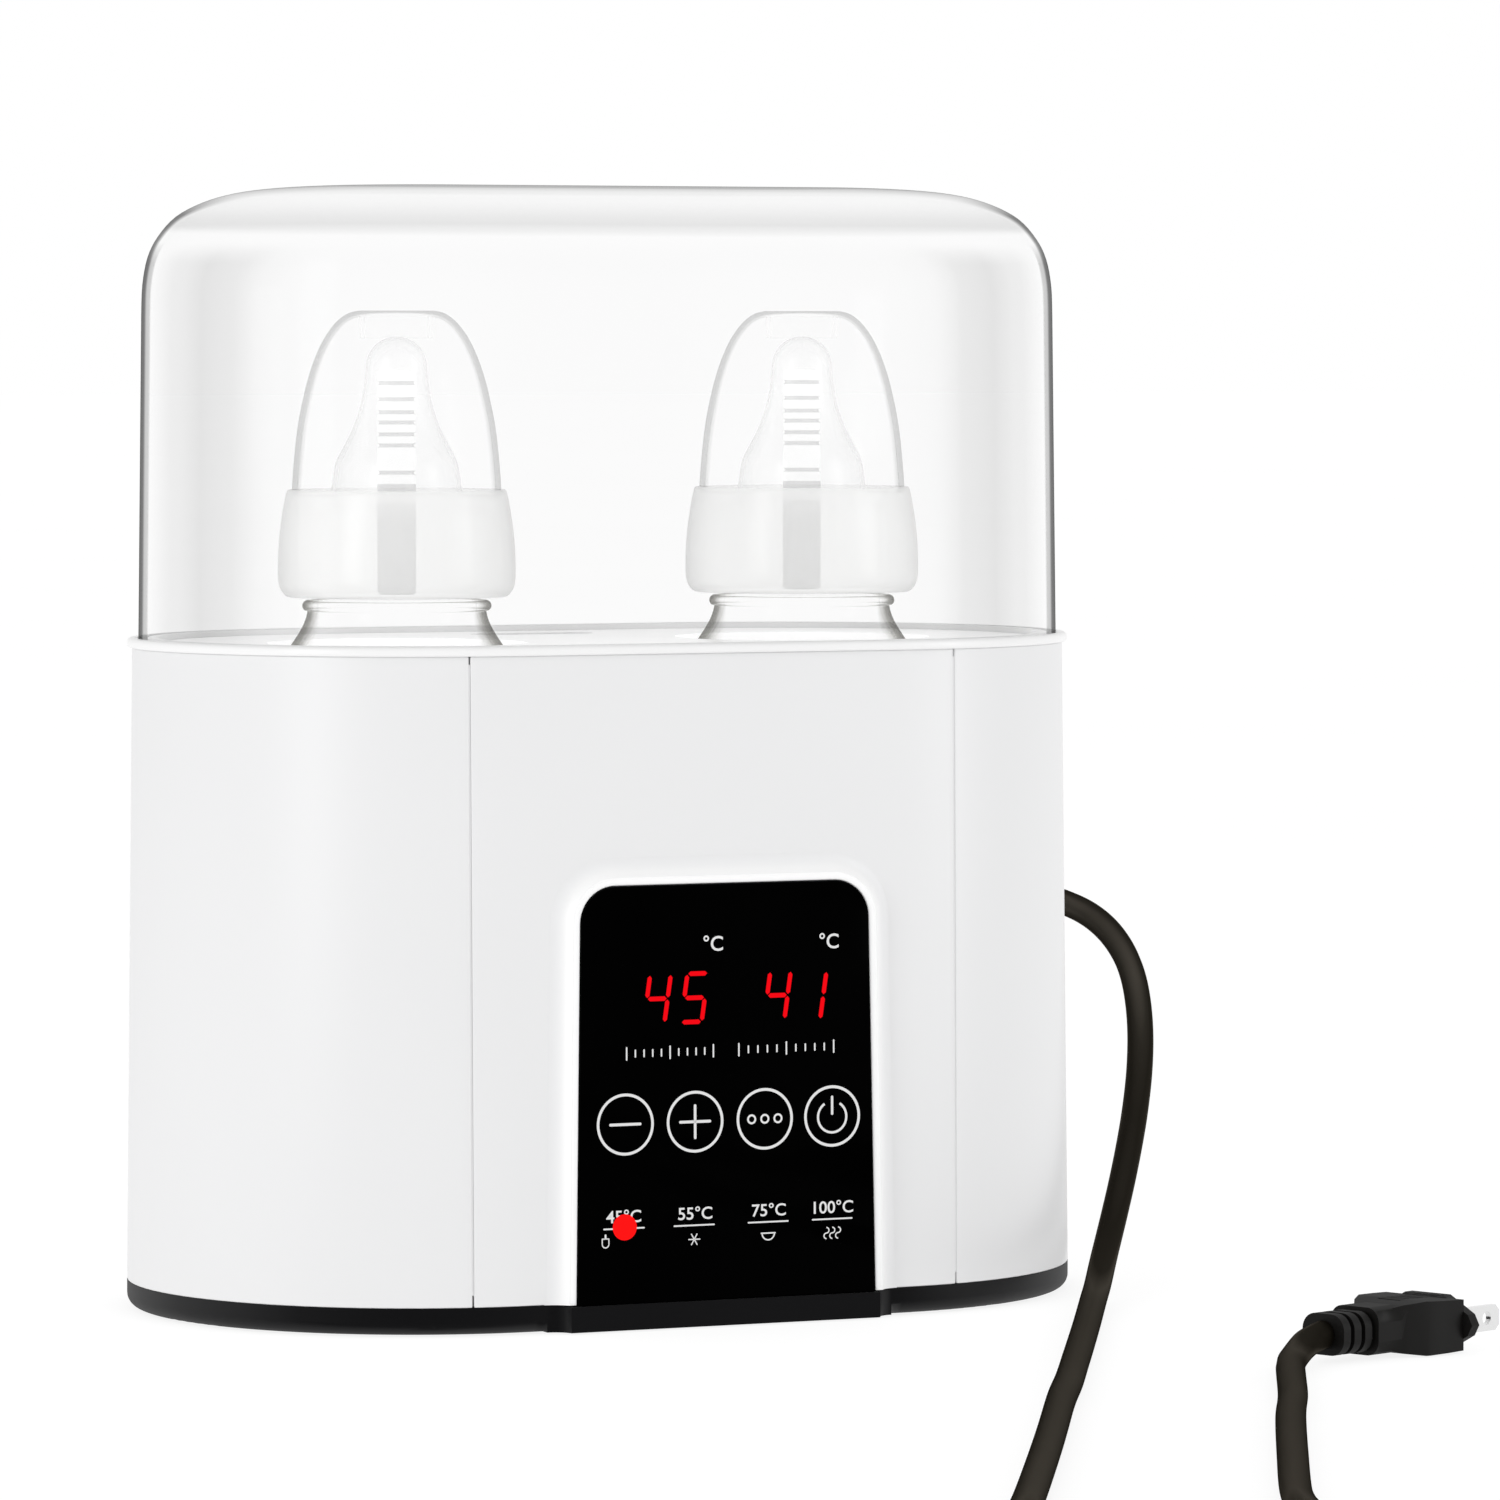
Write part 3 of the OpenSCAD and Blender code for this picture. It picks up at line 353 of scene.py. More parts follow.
PALE = (0.96, 0.96, 0.955)
FINISHES = {
    "casing": moulded("casing_white", CASING, 0.4, depth=0.000003, spread=0.02, tint=0.006),
    "surround": surround_painted_highlight(),
    # The rim glows faintly of itself: painted light
    "rim": moulded("rim_white", (0.82, 0.82, 0.82), 0.3, specular=0.4, depth=0.000004, tint=0.01,
                   glow=(*WHITE, 0.03)),
    "base": satin_black("base_black", (0.004, 0.004, 0.0045),
                        [(0.0, 0.003), (0.1, 0.005), (0.21, 0.016), (0.45, 0.035), (0.7, 0.07),
                         (1.0, 0.12)], 0.4, 1400, 0.00001),
    "foot": moulded("foot_rubber", (0.03, 0.03, 0.03), 0.8, specular=0.2, grain=600, depth=0.00004),
    "lens": panel_gloss("panel_black"),
    # The print glows a little of itself, painted light; the display and the mode lamp below are
    # real lamps
    "mark": moulded("panel_print_painted_glow", (0.62, 0.62, 0.62), 0.6, specular=0.0, glow=(*WHITE, 0.12),
                    depth=0),
    "lamp": moulded("display_red", (0.3, 0.0, 0.0), 0.6, specular=0.0,
                    glow=(1.0, 0.006, 0.014, 0.62), depth=0),
    "signal": moulded("signal_red", (0.3, 0.0, 0.0), 0.6, specular=0.0,
                      glow=(1.0, 0.01, 0.01, 0.82), depth=0),
    "tank": moulded("tank_white", (0.78, 0.78, 0.79), 0.3, specular=0.4),
    # The rack, and more its wells, glow of themselves: painted light where the deck and the wells
    # lie in shade
    "rack": moulded("rack_white", (0.92, 0.92, 0.92), 0.3, specular=0.3, depth=0.000004,
                    glow=(*WHITE, 0.12)),
    "well": moulded("rack_well_painted_light", (0.92, 0.92, 0.92), 0.4, specular=0.2, glow=(*WHITE, 0.42)),
    "plate": moulded("plate_metal", (0.62, 0.63, 0.65), 0.32, metal=1.0, grain=500,
                     stretch=(1, 14, 1)),
    "steel": moulded("heater_metal", (0.5, 0.5, 0.52), 0.36, metal=1.0),
    "screw": moulded("screw_steel", (0.6, 0.6, 0.62), 0.25, metal=1.0),
    "brass": moulded("spring_metal", (0.75, 0.58, 0.25), 0.3, metal=1.0),
    "seal": moulded("seal_silicone", (0.62, 0.16, 0.1), 0.6),
    "ceramic": moulded("ceramic_white", (0.8, 0.8, 0.74), 0.5),
    "board": moulded("circuit_board", (0.02, 0.2, 0.08), 0.35, grain=300, depth=0.00003),
    "chip": moulded("board_dark", (0.02, 0.02, 0.025), 0.45),
    "lead": moulded("lead_red", (0.55, 0.02, 0.02), 0.4),
    # The cord's sheen is strongest face on and again near 0.85 of the turn, where the middle of the
    # lying cord is seen: a real gloss, shaped into painted highlights along its middle
    "cord": satin_black("cord_black", (0.004, 0.0033, 0.002),
                        [(0.0, 0.06), (0.15, 0.05), (0.35, 0.02), (0.55, 0.01), (0.75, 0.014),
                         (0.85, 0.042), (0.93, 0.02), (1.0, 0.003)], sheen=(1.0, 0.9, 0.76)),
    "plug": satin_black("plug_black", (0.005, 0.0047, 0.0043),
                        [(0.0, 0.01), (0.4, 0.016), (0.8, 0.045), (1.0, 0.07)], 0.4, 700),
    "blade": moulded("blade_metal", (0.72, 0.72, 0.72), 0.22, metal=1.0, grain=300,
                     stretch=(20, 1, 1)),
    # The cloudy parts glow a little of themselves by their lift, painted light, and the collar and
    # nipple darken towards their edges by their shade, painted shade
    "collar": milky("collar_white", PALE, 0.66, 0.25, edge=0.85, lift=0.07, shade=0.8),
    "collar_inside": milky("collar_white_inside", PALE, 0.06, gloss=0.0, lift=0.1),
    "nipple": milky("nipple_silicone", (0.96, 0.96, 0.965), 0.11, 0.5, edge=0.42, lift=0.04,
                    shade=0.84, turn=0.35),
    "nipple_inside": milky("nipple_silicone_inside", (0.97, 0.97, 0.97), 0.04, 0.5, gloss=0.0,
                           lift=0.15),
    "core": milky("nipple_core", (0.55, 0.55, 0.55), 0.8, 0.2, gloss=0.0),
    # The core's grooves get a finish that draws them as lines, painted shade; its lower part glows
    # of itself, painted light
    "core_painted_groove_shade": milky("nipple_core_line", (0.6, 0.6, 0.6), 0.3, 0.2, gloss=0.0),
    "core_bright": milky("nipple_core_bright", (0.97, 0.97, 0.97), 0.2, 0.5, gloss=0.0, lift=0.25),
    "cover": cover_clear(),
    "cover_inside": clear_wall("cover_clear_inside", [(0.0, 0.998), (1.0, 0.99)], gloss=0.0015),
    "cap": clear_wall("cap_clear",
                      [(0.0, 1.0), (0.57, 1.0), (0.64, 0.92), (0.7, 0.84), (1.0, 0.81)],
                      gloss=[(0.0, 0.003), (0.5, 0.005), (1.0, 0.06)]),
    "cap_inside": clear_wall("cap_clear_inside",
                             [(0.0, 1.0), (0.85, 1.0), (0.95, 0.93), (1.0, 0.93)], gloss=0.0015),
    # The cap's ring glows a little of itself: painted light
    "cap_ring": milky("cap_ring_haze", (0.9, 0.9, 0.9), 0.06, gloss=0.0, edge=0.3, lift=0.1),
    "glass": clear_wall("bottle_clear",
                        [(0.0, 1.0), (0.5, 1.0), (0.6, 0.82), (0.7, 0.58), (0.85, 0.45),
                         (1.0, 0.6)],
                        gloss=[(0.0, 0.004), (0.5, 0.01), (1.0, 0.15)], tint=(1.0, 1.01, 1.06),
                        streaks=0.05),
    "glass_inside": clear_wall("bottle_clear_inside", [(0.0, 1.0), (0.8, 1.0), (1.0, 0.9)],
                               gloss=0.002),
}

# ---- Modelling helpers ----------------------------------------------------------------------


def begin(name):
    """A new mesh at the origin, alone selected and open in edit mode as a single point."""
    bpy.ops.object.select_all(action="DESELECT")
    bpy.ops.mesh.primitive_plane_add(size=MM)
    obj = bpy.context.object
    obj.name = obj.data.name = name
    bpy.ops.object.mode_set(mode="EDIT")
    bpy.ops.mesh.select_mode(type="VERT")
    bpy.ops.mesh.select_all(action="SELECT")
    bpy.ops.mesh.merge(type="CENTER")
    return obj


def draw(points):
    """Moves the point to the line's start and extrudes it from place to place, in millimetres."""
    bpy.ops.transform.translate(value=Vector(points[0]) * MM)
    for a, b in zip(points, points[1:]):
        pull(Vector(b) - Vector(a))
    bpy.ops.mesh.select_linked()


def pull(way):
    """Extrudes what is selected along the way, in millimetres."""
    bpy.ops.mesh.extrude_region_move(TRANSFORM_OT_translate={"value": Vector(way) * MM})


def spin(centre, degrees, steps, axis=(0, 0, 1)):
    """Spins what is selected about an upright line, or about one that runs front to back."""
    bpy.ops.mesh.spin(steps=steps, angle=-math.radians(degrees), center=Vector(centre) * MM,
                      axis=axis)


def close_up():
    """Merges what meets and points the faces outwards."""
    bpy.ops.mesh.select_all(action="SELECT")
    bpy.ops.mesh.remove_doubles(threshold=0.000008)
    bpy.ops.mesh.normals_make_consistent(inside=False)


def pick_faces(obj, test):
    """Selects the faces whose centre, in millimetres, and normal pass the test."""
    bpy.ops.mesh.select_mode(type="FACE")
    bpy.ops.mesh.select_all(action="DESELECT")
    mesh = bmesh.from_edit_mesh(obj.data)
    for face in mesh.faces:
        face.select_set(bool(test(face.calc_center_median() / MM, face.normal)))
    bmesh.update_edit_mesh(obj.data)


def two_finishes(obj, outside, inside, test):
    """One finish all over, and another on the faces that pass the test."""
    obj.data.materials.append(FINISHES[outside])
    next_finish(obj, inside, test)


def next_finish(obj, finish, test):
    """Adds a finish and gives it to the faces that pass the test."""
    obj.data.materials.append(FINISHES[finish])
    pick_faces(obj, test)
    obj.active_material_index = len(obj.data.materials) - 1
    bpy.ops.object.material_slot_assign()


def cut(at, normal, **clear):
    """Cuts everything with a plane."""
    bpy.ops.mesh.select_all(action="SELECT")
    bpy.ops.mesh.bisect(plane_co=Vector(at) * MM, plane_no=normal, **clear)


def only(obj):
    bpy.ops.object.select_all(action="DESELECT")
    obj.select_set(True)
    bpy.context.view_layer.objects.active = obj


def apply_modifiers(obj):
    only(obj)
    for modifier in list(obj.modifiers):
        bpy.ops.object.modifier_apply(modifier=modifier.name)


def wall(obj, thickness):
    """Gives a skin its thickness, inwards."""
    modifier = obj.modifiers.new("wall", "SOLIDIFY")
    modifier.thickness = thickness * MM
    modifier.offset = -1
    apply_modifiers(obj)


def round_edges(obj, width, segments=3, angle=40):
    modifier = obj.modifiers.new("round", "BEVEL")
    modifier.width = width * MM
    modifier.segments = segments
    modifier.limit_method = "ANGLE"
    modifier.angle_limit = math.radians(angle)
    apply_modifiers(obj)


def dress(obj, finish, body="housing", stands_for=(), angle=32):
    """Closes the piece: its finish, its shading, the body it rides on and what it stands for."""
    if obj.mode == "EDIT":
        bpy.ops.object.mode_set(mode="OBJECT")
    only(obj)
    if not obj.data.materials:
        obj.data.materials.append(FINISHES[finish])
    bpy.ops.object.shade_smooth_by_angle(angle=math.radians(angle))
    obj.select_set(False)
    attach(obj, body)
    if stands_for:
        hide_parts(*stands_for)
    return obj


def from_node(node, finish, body, angle=28):
    """A merged, smooth piece from a CAD node."""
    obj = nodes[node].copy()
    obj.data = nodes[node].data.copy()
    obj.name = obj.data.name = node + "_finished"
    obj.parent = None
    scene.collection.objects.link(obj)
    obj.hide_render = obj.hide_viewport = False
    only(obj)
    obj.data.materials.clear()
    bpy.ops.object.mode_set(mode="EDIT")
    bpy.ops.mesh.select_mode(type="VERT")
    bpy.ops.mesh.select_all(action="SELECT")
    bpy.ops.mesh.remove_doubles(threshold=0.000002)
    bpy.ops.mesh.dissolve_limited(angle_limit=math.radians(0.5))
    bpy.ops.object.mode_set(mode="OBJECT")
    dress(obj, finish, body, [node], angle)
    modifier = obj.modifiers.new("even", "WEIGHTED_NORMAL")
    modifier.keep_sharp = True
    apply_modifiers(obj)
    return obj


def arc(cx, cy, r, start, stop, steps=6):
    """Points of an arc, its ends included."""
    return [(cx + r * math.cos(math.radians(start + (stop - start) * i / steps)),
             cy + r * math.sin(math.radians(start + (stop - start) * i / steps)))
            for i in range(steps + 1)]


def smooth_line(points, per=4):
    """A smooth line through points of any dimension."""
    last = len(points) - 1
    line = []
    for i in range(last):
        a, b = points[max(0, i - 1)], points[i]
        c, d = points[i + 1], points[min(last, i + 2)]
        for s in range(per):
            t = s / per
            line.append(tuple(
                0.5 * (2 * q + (r - p) * t + (2 * p - 5 * q + 4 * r - w) * t * t
                       + (3 * q - p - 3 * r + w) * t ** 3)
                for p, q, r, w in zip(a, b, c, d)))
    line.append(tuple(points[-1]))
    return line


# Half the distance between the middles of the racetrack's two round ends
END_X = 50.0


def round_plan(section, steps=48):
    """Draws a section of half depths and heights at the front and takes it round the racetrack."""
    draw([(END_X, -r, z) for r, z in section])
    for centre in (END_X, -END_X):
        spin((centre, 0, 0), 180, steps)
        pull((-2 * centre, 0, 0))
    close_up()


def turn_round(centre_x, section, steps=72):
    """Draws a section of radii and heights and turns it about a bottle's upright middle."""
    draw([(centre_x + r, 0, z) for r, z in section])
    spin((centre_x, 0, 0), 360, steps)
    close_up()


# Above this height a face that looks down is an inner one
INNER_FROM = 60


def faces_in(x):
    """A test for the faces that look in at an upright middle, or down."""
    return lambda at, normal: (normal.x * (at.x - x) + normal.y * at.y < 0
                               or normal.z < -0.9 and at.z > INNER_FROM)


# ---- Cord -----------------------------------------------------------------------------------

CORD_R = 3.5
EVENINGS = 10
ROUTE = [
    (117.9, 67.9, 100), (126, 72.5, 99.7), (137.9, 75.1, 98.6), (150.5, 72.9, 96.8),
    (160.4, 66.8, 94.3), (166.5, 58.7, 91.2), (169.6, 50.7, 87.1), (171.2, 43.6, 81.7),
    (171.6, 37.7, 75.3), (170.5, 31.9, 67.9), (167.3, 24.1, 59.5), (161.5, 13.3, 50.6),
    (153.7, 0.2, 42.3), (145.4, -13.2, 35.2), (135.3, -28.7, 26.6), (124.6, -44.5, 17.8),
    (113.5, -61.5, 10.5), (102.5, -80, 5.9), (90, -102, 4), (71, -137, 3.5), (52, -172, 3.5),
    (34, -205, 3.5), (16, -238, 3.5), (-2, -270, 3.5), (-35, -331, 3.5), (-79, -411, 3.5),
    (-94, -437, 3.5), (-110, -461, 3.5), (-125, -487, 3.5), (-129, -505, 3.5), (-123, -522, 3.5),
    (-109, -533.5, 3.5), (-92, -536.5, 3.5), (-76, -531.5, 3.5), (-64, -519, 3.5), (-51, -492, 3.5),
    (-40, -463, 3.5), (-29, -436, 3.5), (2, -375.5, 3.5), (33, -316, 3.5), (50, -285, 3.5),
    (67, -252, 3.5), (78, -231, 3.6), (86, -219, 4.3), (93, -211, 5.8), (100, -206, 6.9)]


def add_cord():
    """The cord along its route, which is evened so that no bend is sharp."""
    line = smooth_line(ROUTE, 12)
    for _ in range(EVENINGS):
        line[1:-1] = [tuple((p + 2 * q + r) / 4 for p, q, r in zip(a, b, c))
                      for a, b, c in zip(line, line[1:], line[2:])]
    curve = bpy.data.curves.new("mains_cord", "CURVE")
    curve.dimensions = "3D"
    curve.bevel_depth = CORD_R * MM
    curve.bevel_resolution = 5
    curve.use_fill_caps = True
    spline = curve.splines.new("POLY")
    spline.points.add(len(line) - 1)
    for point, (x, y, z) in zip(spline.points, line):
        point.co = (x * MM, y * MM, z * MM, 1)
    spline.use_smooth = True
    cord = bpy.data.objects.new("mains_cord", curve)
    scene.collection.objects.link(cord)
    curve.materials.append(FINISHES["cord"])
    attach(cord, "housing")
    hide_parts("power_cord")
    return cord, sum(math.dist(a, b) for a, b in zip(line, line[1:])) * MM


cord, cord_length = add_cord()
plug = from_node("plug_body", "plug", "housing", angle=35)
blades = from_node("plug_blades", "blade", "housing")
from_node("cord_gland", "plug", "housing")

# ---- Casing ---------------------------------------------------------------------------------

BASE_R, TOP_R = 75.0, 73.2
BASE_TOP, SHELL_TOP, RIM_TOP = 7.2, 167.8, 170.2
WALL, EDGE = 2.4, 0.35
LEAN = math.atan((BASE_R - TOP_R) / (SHELL_TOP - BASE_TOP))
# Across the front: where the front ends, where the shell begins, and the lap behind the two
SEAM, SHELL_SIDE = 65.8, 66.2
LAP_FROM, LAP_TO = 57.8, 70.8


def casing_r(z):
    """The casing's half depth at a height."""
    return BASE_R - (z - BASE_TOP) * (BASE_R - TOP_R) / (SHELL_TOP - BASE_TOP)


def casing_skin(name, depth, low, high, cuts, keep):
    """The casing's leaning skin between two heights, cut at upright planes; a part of it stays."""
    obj = begin(name)
    round_plan([(casing_r(low) - depth, low), (casing_r(high) - depth, high)])
    for x in cuts:
        cut((x, 0, 0), (1, 0, 0))
    pick_faces(obj, lambda at, normal: not keep(at))
    bpy.ops.mesh.delete(type="FACE")
    bpy.ops.object.mode_set(mode="OBJECT")
    return obj


def add_casing():
    """The side and back shell, the front between the seams, and what is behind each seam."""
    shell = casing_skin("casing_shell", 0, BASE_TOP, SHELL_TOP, (-SHELL_SIDE, SHELL_SIDE),
                        lambda at: at.y > 0 or abs(at.x) > SHELL_SIDE)
    front = casing_skin("casing_front", 0, BASE_TOP, SHELL_TOP, (-SEAM, SEAM),
                        lambda at: at.y < 0 and abs(at.x) < SEAM)
    for skin, node in ((shell, "housing_shell"), (front, "front_fascia")):
        wall(skin, WALL)
        round_edges(skin, EDGE, 3, 50)
        dress(skin, "casing", stands_for=[node])
    for side, name in ((-1, "seam_lap_left"), (1, "seam_lap_right")):
        for ending, depth, thick, under_top, near, far in (
                ("", 2.6, 1.4, 9, LAP_FROM, LAP_TO),
                ("_tongue", 0.3, 2.2, 2, SEAM, SHELL_SIDE)):
            strip = casing_skin(name + ending, depth, BASE_TOP + 3, SHELL_TOP - under_top,
                                (side * near, side * far),
                                lambda at: at.y < 0 and near < side * at.x < far)
            wall(strip, thick)
            dress(strip, "casing")


add_casing()

# The panel, with x across, z up the front from the base band and p outwards: where its middle is,
# the middles of its round corners, how far its feet are outside them, and how far it is proud
PANEL_X, PANEL_CX, PANEL_CZ, CORNER, FOOT_OUT = 0.4, 29.9, 94.1, 9.2, 10.7
PANEL_LEAN = math.acos(CORNER / math.hypot(FOOT_OUT, PANEL_CZ)) - math.atan2(PANEL_CZ, FOOT_OUT)
PROUD = 3.6


def on_front(x, z, p):
    """A point on the upright front, before it leans."""
    return (x + PANEL_X, -BASE_R - p, BASE_TOP + z)


def lean_back():
    """Turns what is open from upright to the front's lean."""
    bpy.ops.mesh.select_all(action="SELECT")
    bpy.ops.transform.rotate(value=LEAN, orient_axis="X",
                             center_override=(0, -BASE_R * MM, BASE_TOP * MM))


def panel_outline(low, steps):
    """The panel's outline from its left foot over the top to its right foot, as x and z."""
    side = math.degrees(PANEL_LEAN)
    foot = (PANEL_CX + CORNER * math.cos(PANEL_LEAN)
            + (PANEL_CZ - low + CORNER * math.sin(PANEL_LEAN)) * math.tan(PANEL_LEAN))
    return ([(-foot, low)] + arc(-PANEL_CX, PANEL_CZ, CORNER, 180 - side, 90, steps)
            + arc(PANEL_CX, PANEL_CZ, CORNER, 90, side, steps) + [(foot, low)])


def add_surround():
    """A coved section, drawn square to the panel's side and taken up, over and down again."""
    section = [(0.15, 0.4), (0.15, 2.75)] + arc(0.5, 2.75, 0.35, 180, 90, 3)
    section += [(1.35, 3.1)] + arc(1.35, 2.6, 0.5, 90, 48, 3)
    section += arc(8.0, 7.04, 7.1, 214, 267, 14)
    c, s = math.cos(PANEL_LEAN), math.sin(PANEL_LEAN)
    length, turn = 112.0, 90 - math.degrees(PANEL_LEAN)
    obj = begin("panel_surround")
    draw([on_front(-PANEL_CX - (CORNER + g) * c - length * s,
                   PANEL_CZ + (CORNER + g) * s - length * c, p) for g, p in section])
    pull((length * s, 0, length * c))
    spin(on_front(-PANEL_CX, PANEL_CZ, 0), turn, 12, (0, 1, 0))
    pull((2 * PANEL_CX, 0, 0))
    spin(on_front(PANEL_CX, PANEL_CZ, 0), turn, 12, (0, 1, 0))
    pull((length * s, 0, -length * c))
    close_up()
    lean_back()
    cut((0, 0, BASE_TOP), (0, 0, 1), clear_inner=True)
    dress(obj, "surround", angle=50)


def add_panel():
    """The glossy panel: its outline filled, pulled to its thickness, its edge rounded."""
    obj = begin("touch_panel")
    line = [on_front(x, z, PROUD) for x, z in panel_outline(-0.3, 14)]
    draw(line + line[:1])
    bpy.ops.mesh.remove_doubles(threshold=0.00001)
    bpy.ops.mesh.select_all(action="SELECT")
    bpy.ops.mesh.edge_face_add()
    pull((0, 2.36, 0))
    bpy.ops.mesh.select_all(action="SELECT")
    bpy.ops.mesh.normals_make_consistent(inside=False)
    lean_back()
    bpy.ops.object.mode_set(mode="OBJECT")
    round_edges(obj, EDGE, 3, 50)
    dress(obj, "lens", stands_for=["panel_lens"])


def add_rim():
    """The rim's flange with its rounded edge, the cover's groove and inner lip, and its skirt."""
    flange = ([(66.6, 166.2), (70.3, 166.2), (70.3, SHELL_TOP)]
              + arc(73.85, SHELL_TOP + 0.65, 0.65, -90, 0, 5)
              + arc(73.4, RIM_TOP - 1.1, 1.1, 0, 90, 5)
              + [(72.25, RIM_TOP)] + arc(72.25, RIM_TOP - 0.25, 0.25, 90, 180, 2)
              + [(72.0, 168.8), (69.2, 168.8)] + arc(68.95, RIM_TOP - 0.25, 0.25, 0, 90, 2)
              + arc(66.9, RIM_TOP - 0.3, 0.3, 90, 180, 3))
    obj = begin("rim")
    round_plan(flange + flange[:1])
    dress(obj, "rim", stands_for=["rim_ring"], angle=50)
    skirt = [(68.9, 159.8), (70.3, 159.8), (70.3, 166.4), (68.9, 166.4)]
    obj = begin("rim_skirt")
    round_plan(skirt + skirt[:1])
    dress(obj, "rim")


add_surround()
add_panel()
add_rim()
from_node("base_pan", "base", "housing", angle=30)
from_node("rubber_feet", "foot", "housing")
from_node("case_screws", "screw", "housing")
from_node("tank", "tank", "housing")
from_node("heating_plate", "plate", "housing")

for node, finish in {
        "display_board": "board", "digit_modules": "lamp", "touch_springs": "brass",
        "indicator_leds": "lamp", "plate_gasket": "seal", "heater_tube": "steel",
        "thermostat": "steel", "thermal_fuse": "ceramic", "water_sensor": "plate",
        "power_board": "board", "board_parts": "chip", "lead_wires": "lead",
        "board_screws": "screw"}.items():
    nodes[node].data.materials.clear()
    nodes[node].data.materials.append(FINISHES[finish])

# ---- Panel print ----------------------------------------------------------------------------


class Print:
    """Flat marks on the panel, drawn in one mesh: x across and z up from the table."""

    def __init__(self, name, lift):
        self.obj = begin(name)
        bpy.ops.mesh.delete(type="VERT")
        self.out = PROUD + lift

    def place(self, x, z):
        return Vector(on_front(x, z - BASE_TOP, self.out))

    def edge(self, a, b):
        """A new edge, alone selected."""
        bpy.ops.mesh.primitive_plane_add(size=MM, location=self.place(*a) * MM,
                                         rotation=(math.pi / 2, 0, 0))
        bpy.ops.mesh.merge(type="CENTER")
        pull(self.place(*b) - self.place(*a))
        bpy.ops.mesh.select_linked()

    def ring(self, x, z, r, width, start=0, turn=360, steps=48):
        c, s = math.cos(math.radians(start)), math.sin(math.radians(start))
        near, far = r - width / 2, r + width / 2
        self.edge((x + near * c, z + near * s), (x + far * c, z + far * s))
        spin(self.place(x, z), -turn, steps, (0, 1, 0))

    def disc(self, x, z, r):
        bpy.ops.mesh.primitive_circle_add(vertices=48, radius=r * MM, fill_type="NGON",
                                          location=self.place(x, z) * MM,
                                          rotation=(math.pi / 2, 0, 0))

    def stroke(self, x0, z0, x1, z1, width, rounds=3):
        """A stroke with round ends, or with pointed ones where rounds is 1."""
        length = math.hypot(x1 - x0, z1 - z0)
        ux, uz = (x1 - x0) / length, (z1 - z0) / length
        if rounds > 1:
            x0, z0, length = x0 - ux * width / 2, z0 - uz * width / 2, length + width
        nx, nz = -uz * width / 2, ux * width / 2
        self.edge((x0 - nx, z0 - nz), (x0 + nx, z0 + nz))
        pull((ux * length, 0, uz * length))
        bpy.ops.mesh.select_linked()
        bpy.ops.mesh.bevel(offset=width * 0.49 * MM, segments=rounds, affect="VERTICES")

    def finish(self, finish, slot):
        close_up()
        mesh = bmesh.from_edit_mesh(self.obj.data)
        for face in mesh.faces:
            if face.normal.y > 0:
                face.normal_flip()
        bmesh.update_edit_mesh(self.obj.data)
        lean_back()
        dress(self.obj, finish)


# A digit's seven parts as strokes on a grid one wide and two tall
SEGMENTS = {"a": (0, 2, 1, 2), "b": (1, 2, 1, 1), "c": (1, 1, 1, 0), "d": (0, 0, 1, 0),
            "e": (0, 1, 0, 0), "f": (0, 2, 0, 1), "g": (0, 1, 1, 1)}
DIGITS = {"4": "bcfg", "5": "acdfg", "1": "bc"}
DISPLAY = (("4", -22.6, 76.4), ("5", -12.5, 76.35), ("4", 10.1, 76.25), ("1", 19.9, 75.85))


def add_digits():
    """The two temperatures in slanted seven-part digits, and the lamp of the chosen mode."""
    red = Print("display_digits", 0.05)
    wide, tall, gap, slant, thick = 5.6, 6.0, 0.25, 0.15, 1.15
    for digit, x, z in DISPLAY:
        for name in DIGITS[digit]:
            ax, az, bx, bz = (c * (tall if i % 2 else wide) for i, c in enumerate(SEGMENTS[name]))
            if az == bz:
                ax, bx = ax + gap, bx - gap
            else:
                az, bz = az - gap, bz + gap
            red.stroke(x + ax + slant * az, z + az, x + bx + slant * bz, z + bz, thick, 1)
    red.finish("lamp", "display_red")
    lamp = Print("mode_lamp", 0.05)
    lamp.disc(-28.0, 26.0, 3.25)
    lamp.finish("signal", "display_red")


KEYS, KEY_Z, KEY_R, KEY_LINE, KEY_ARM = (-27.7, -8.8, 10.2, 28.7), 51.5, 7.35, 0.7, 4
MODES, MODE_Z, MODE_HALF, SIGN_LINE = (-28.2, -9.2, 11.0, 28.6), 25.7, 5.4, 0.3
SCALE_Z, SCALES = 69, ((-15.5, 2.35), (16.2, 2.6))


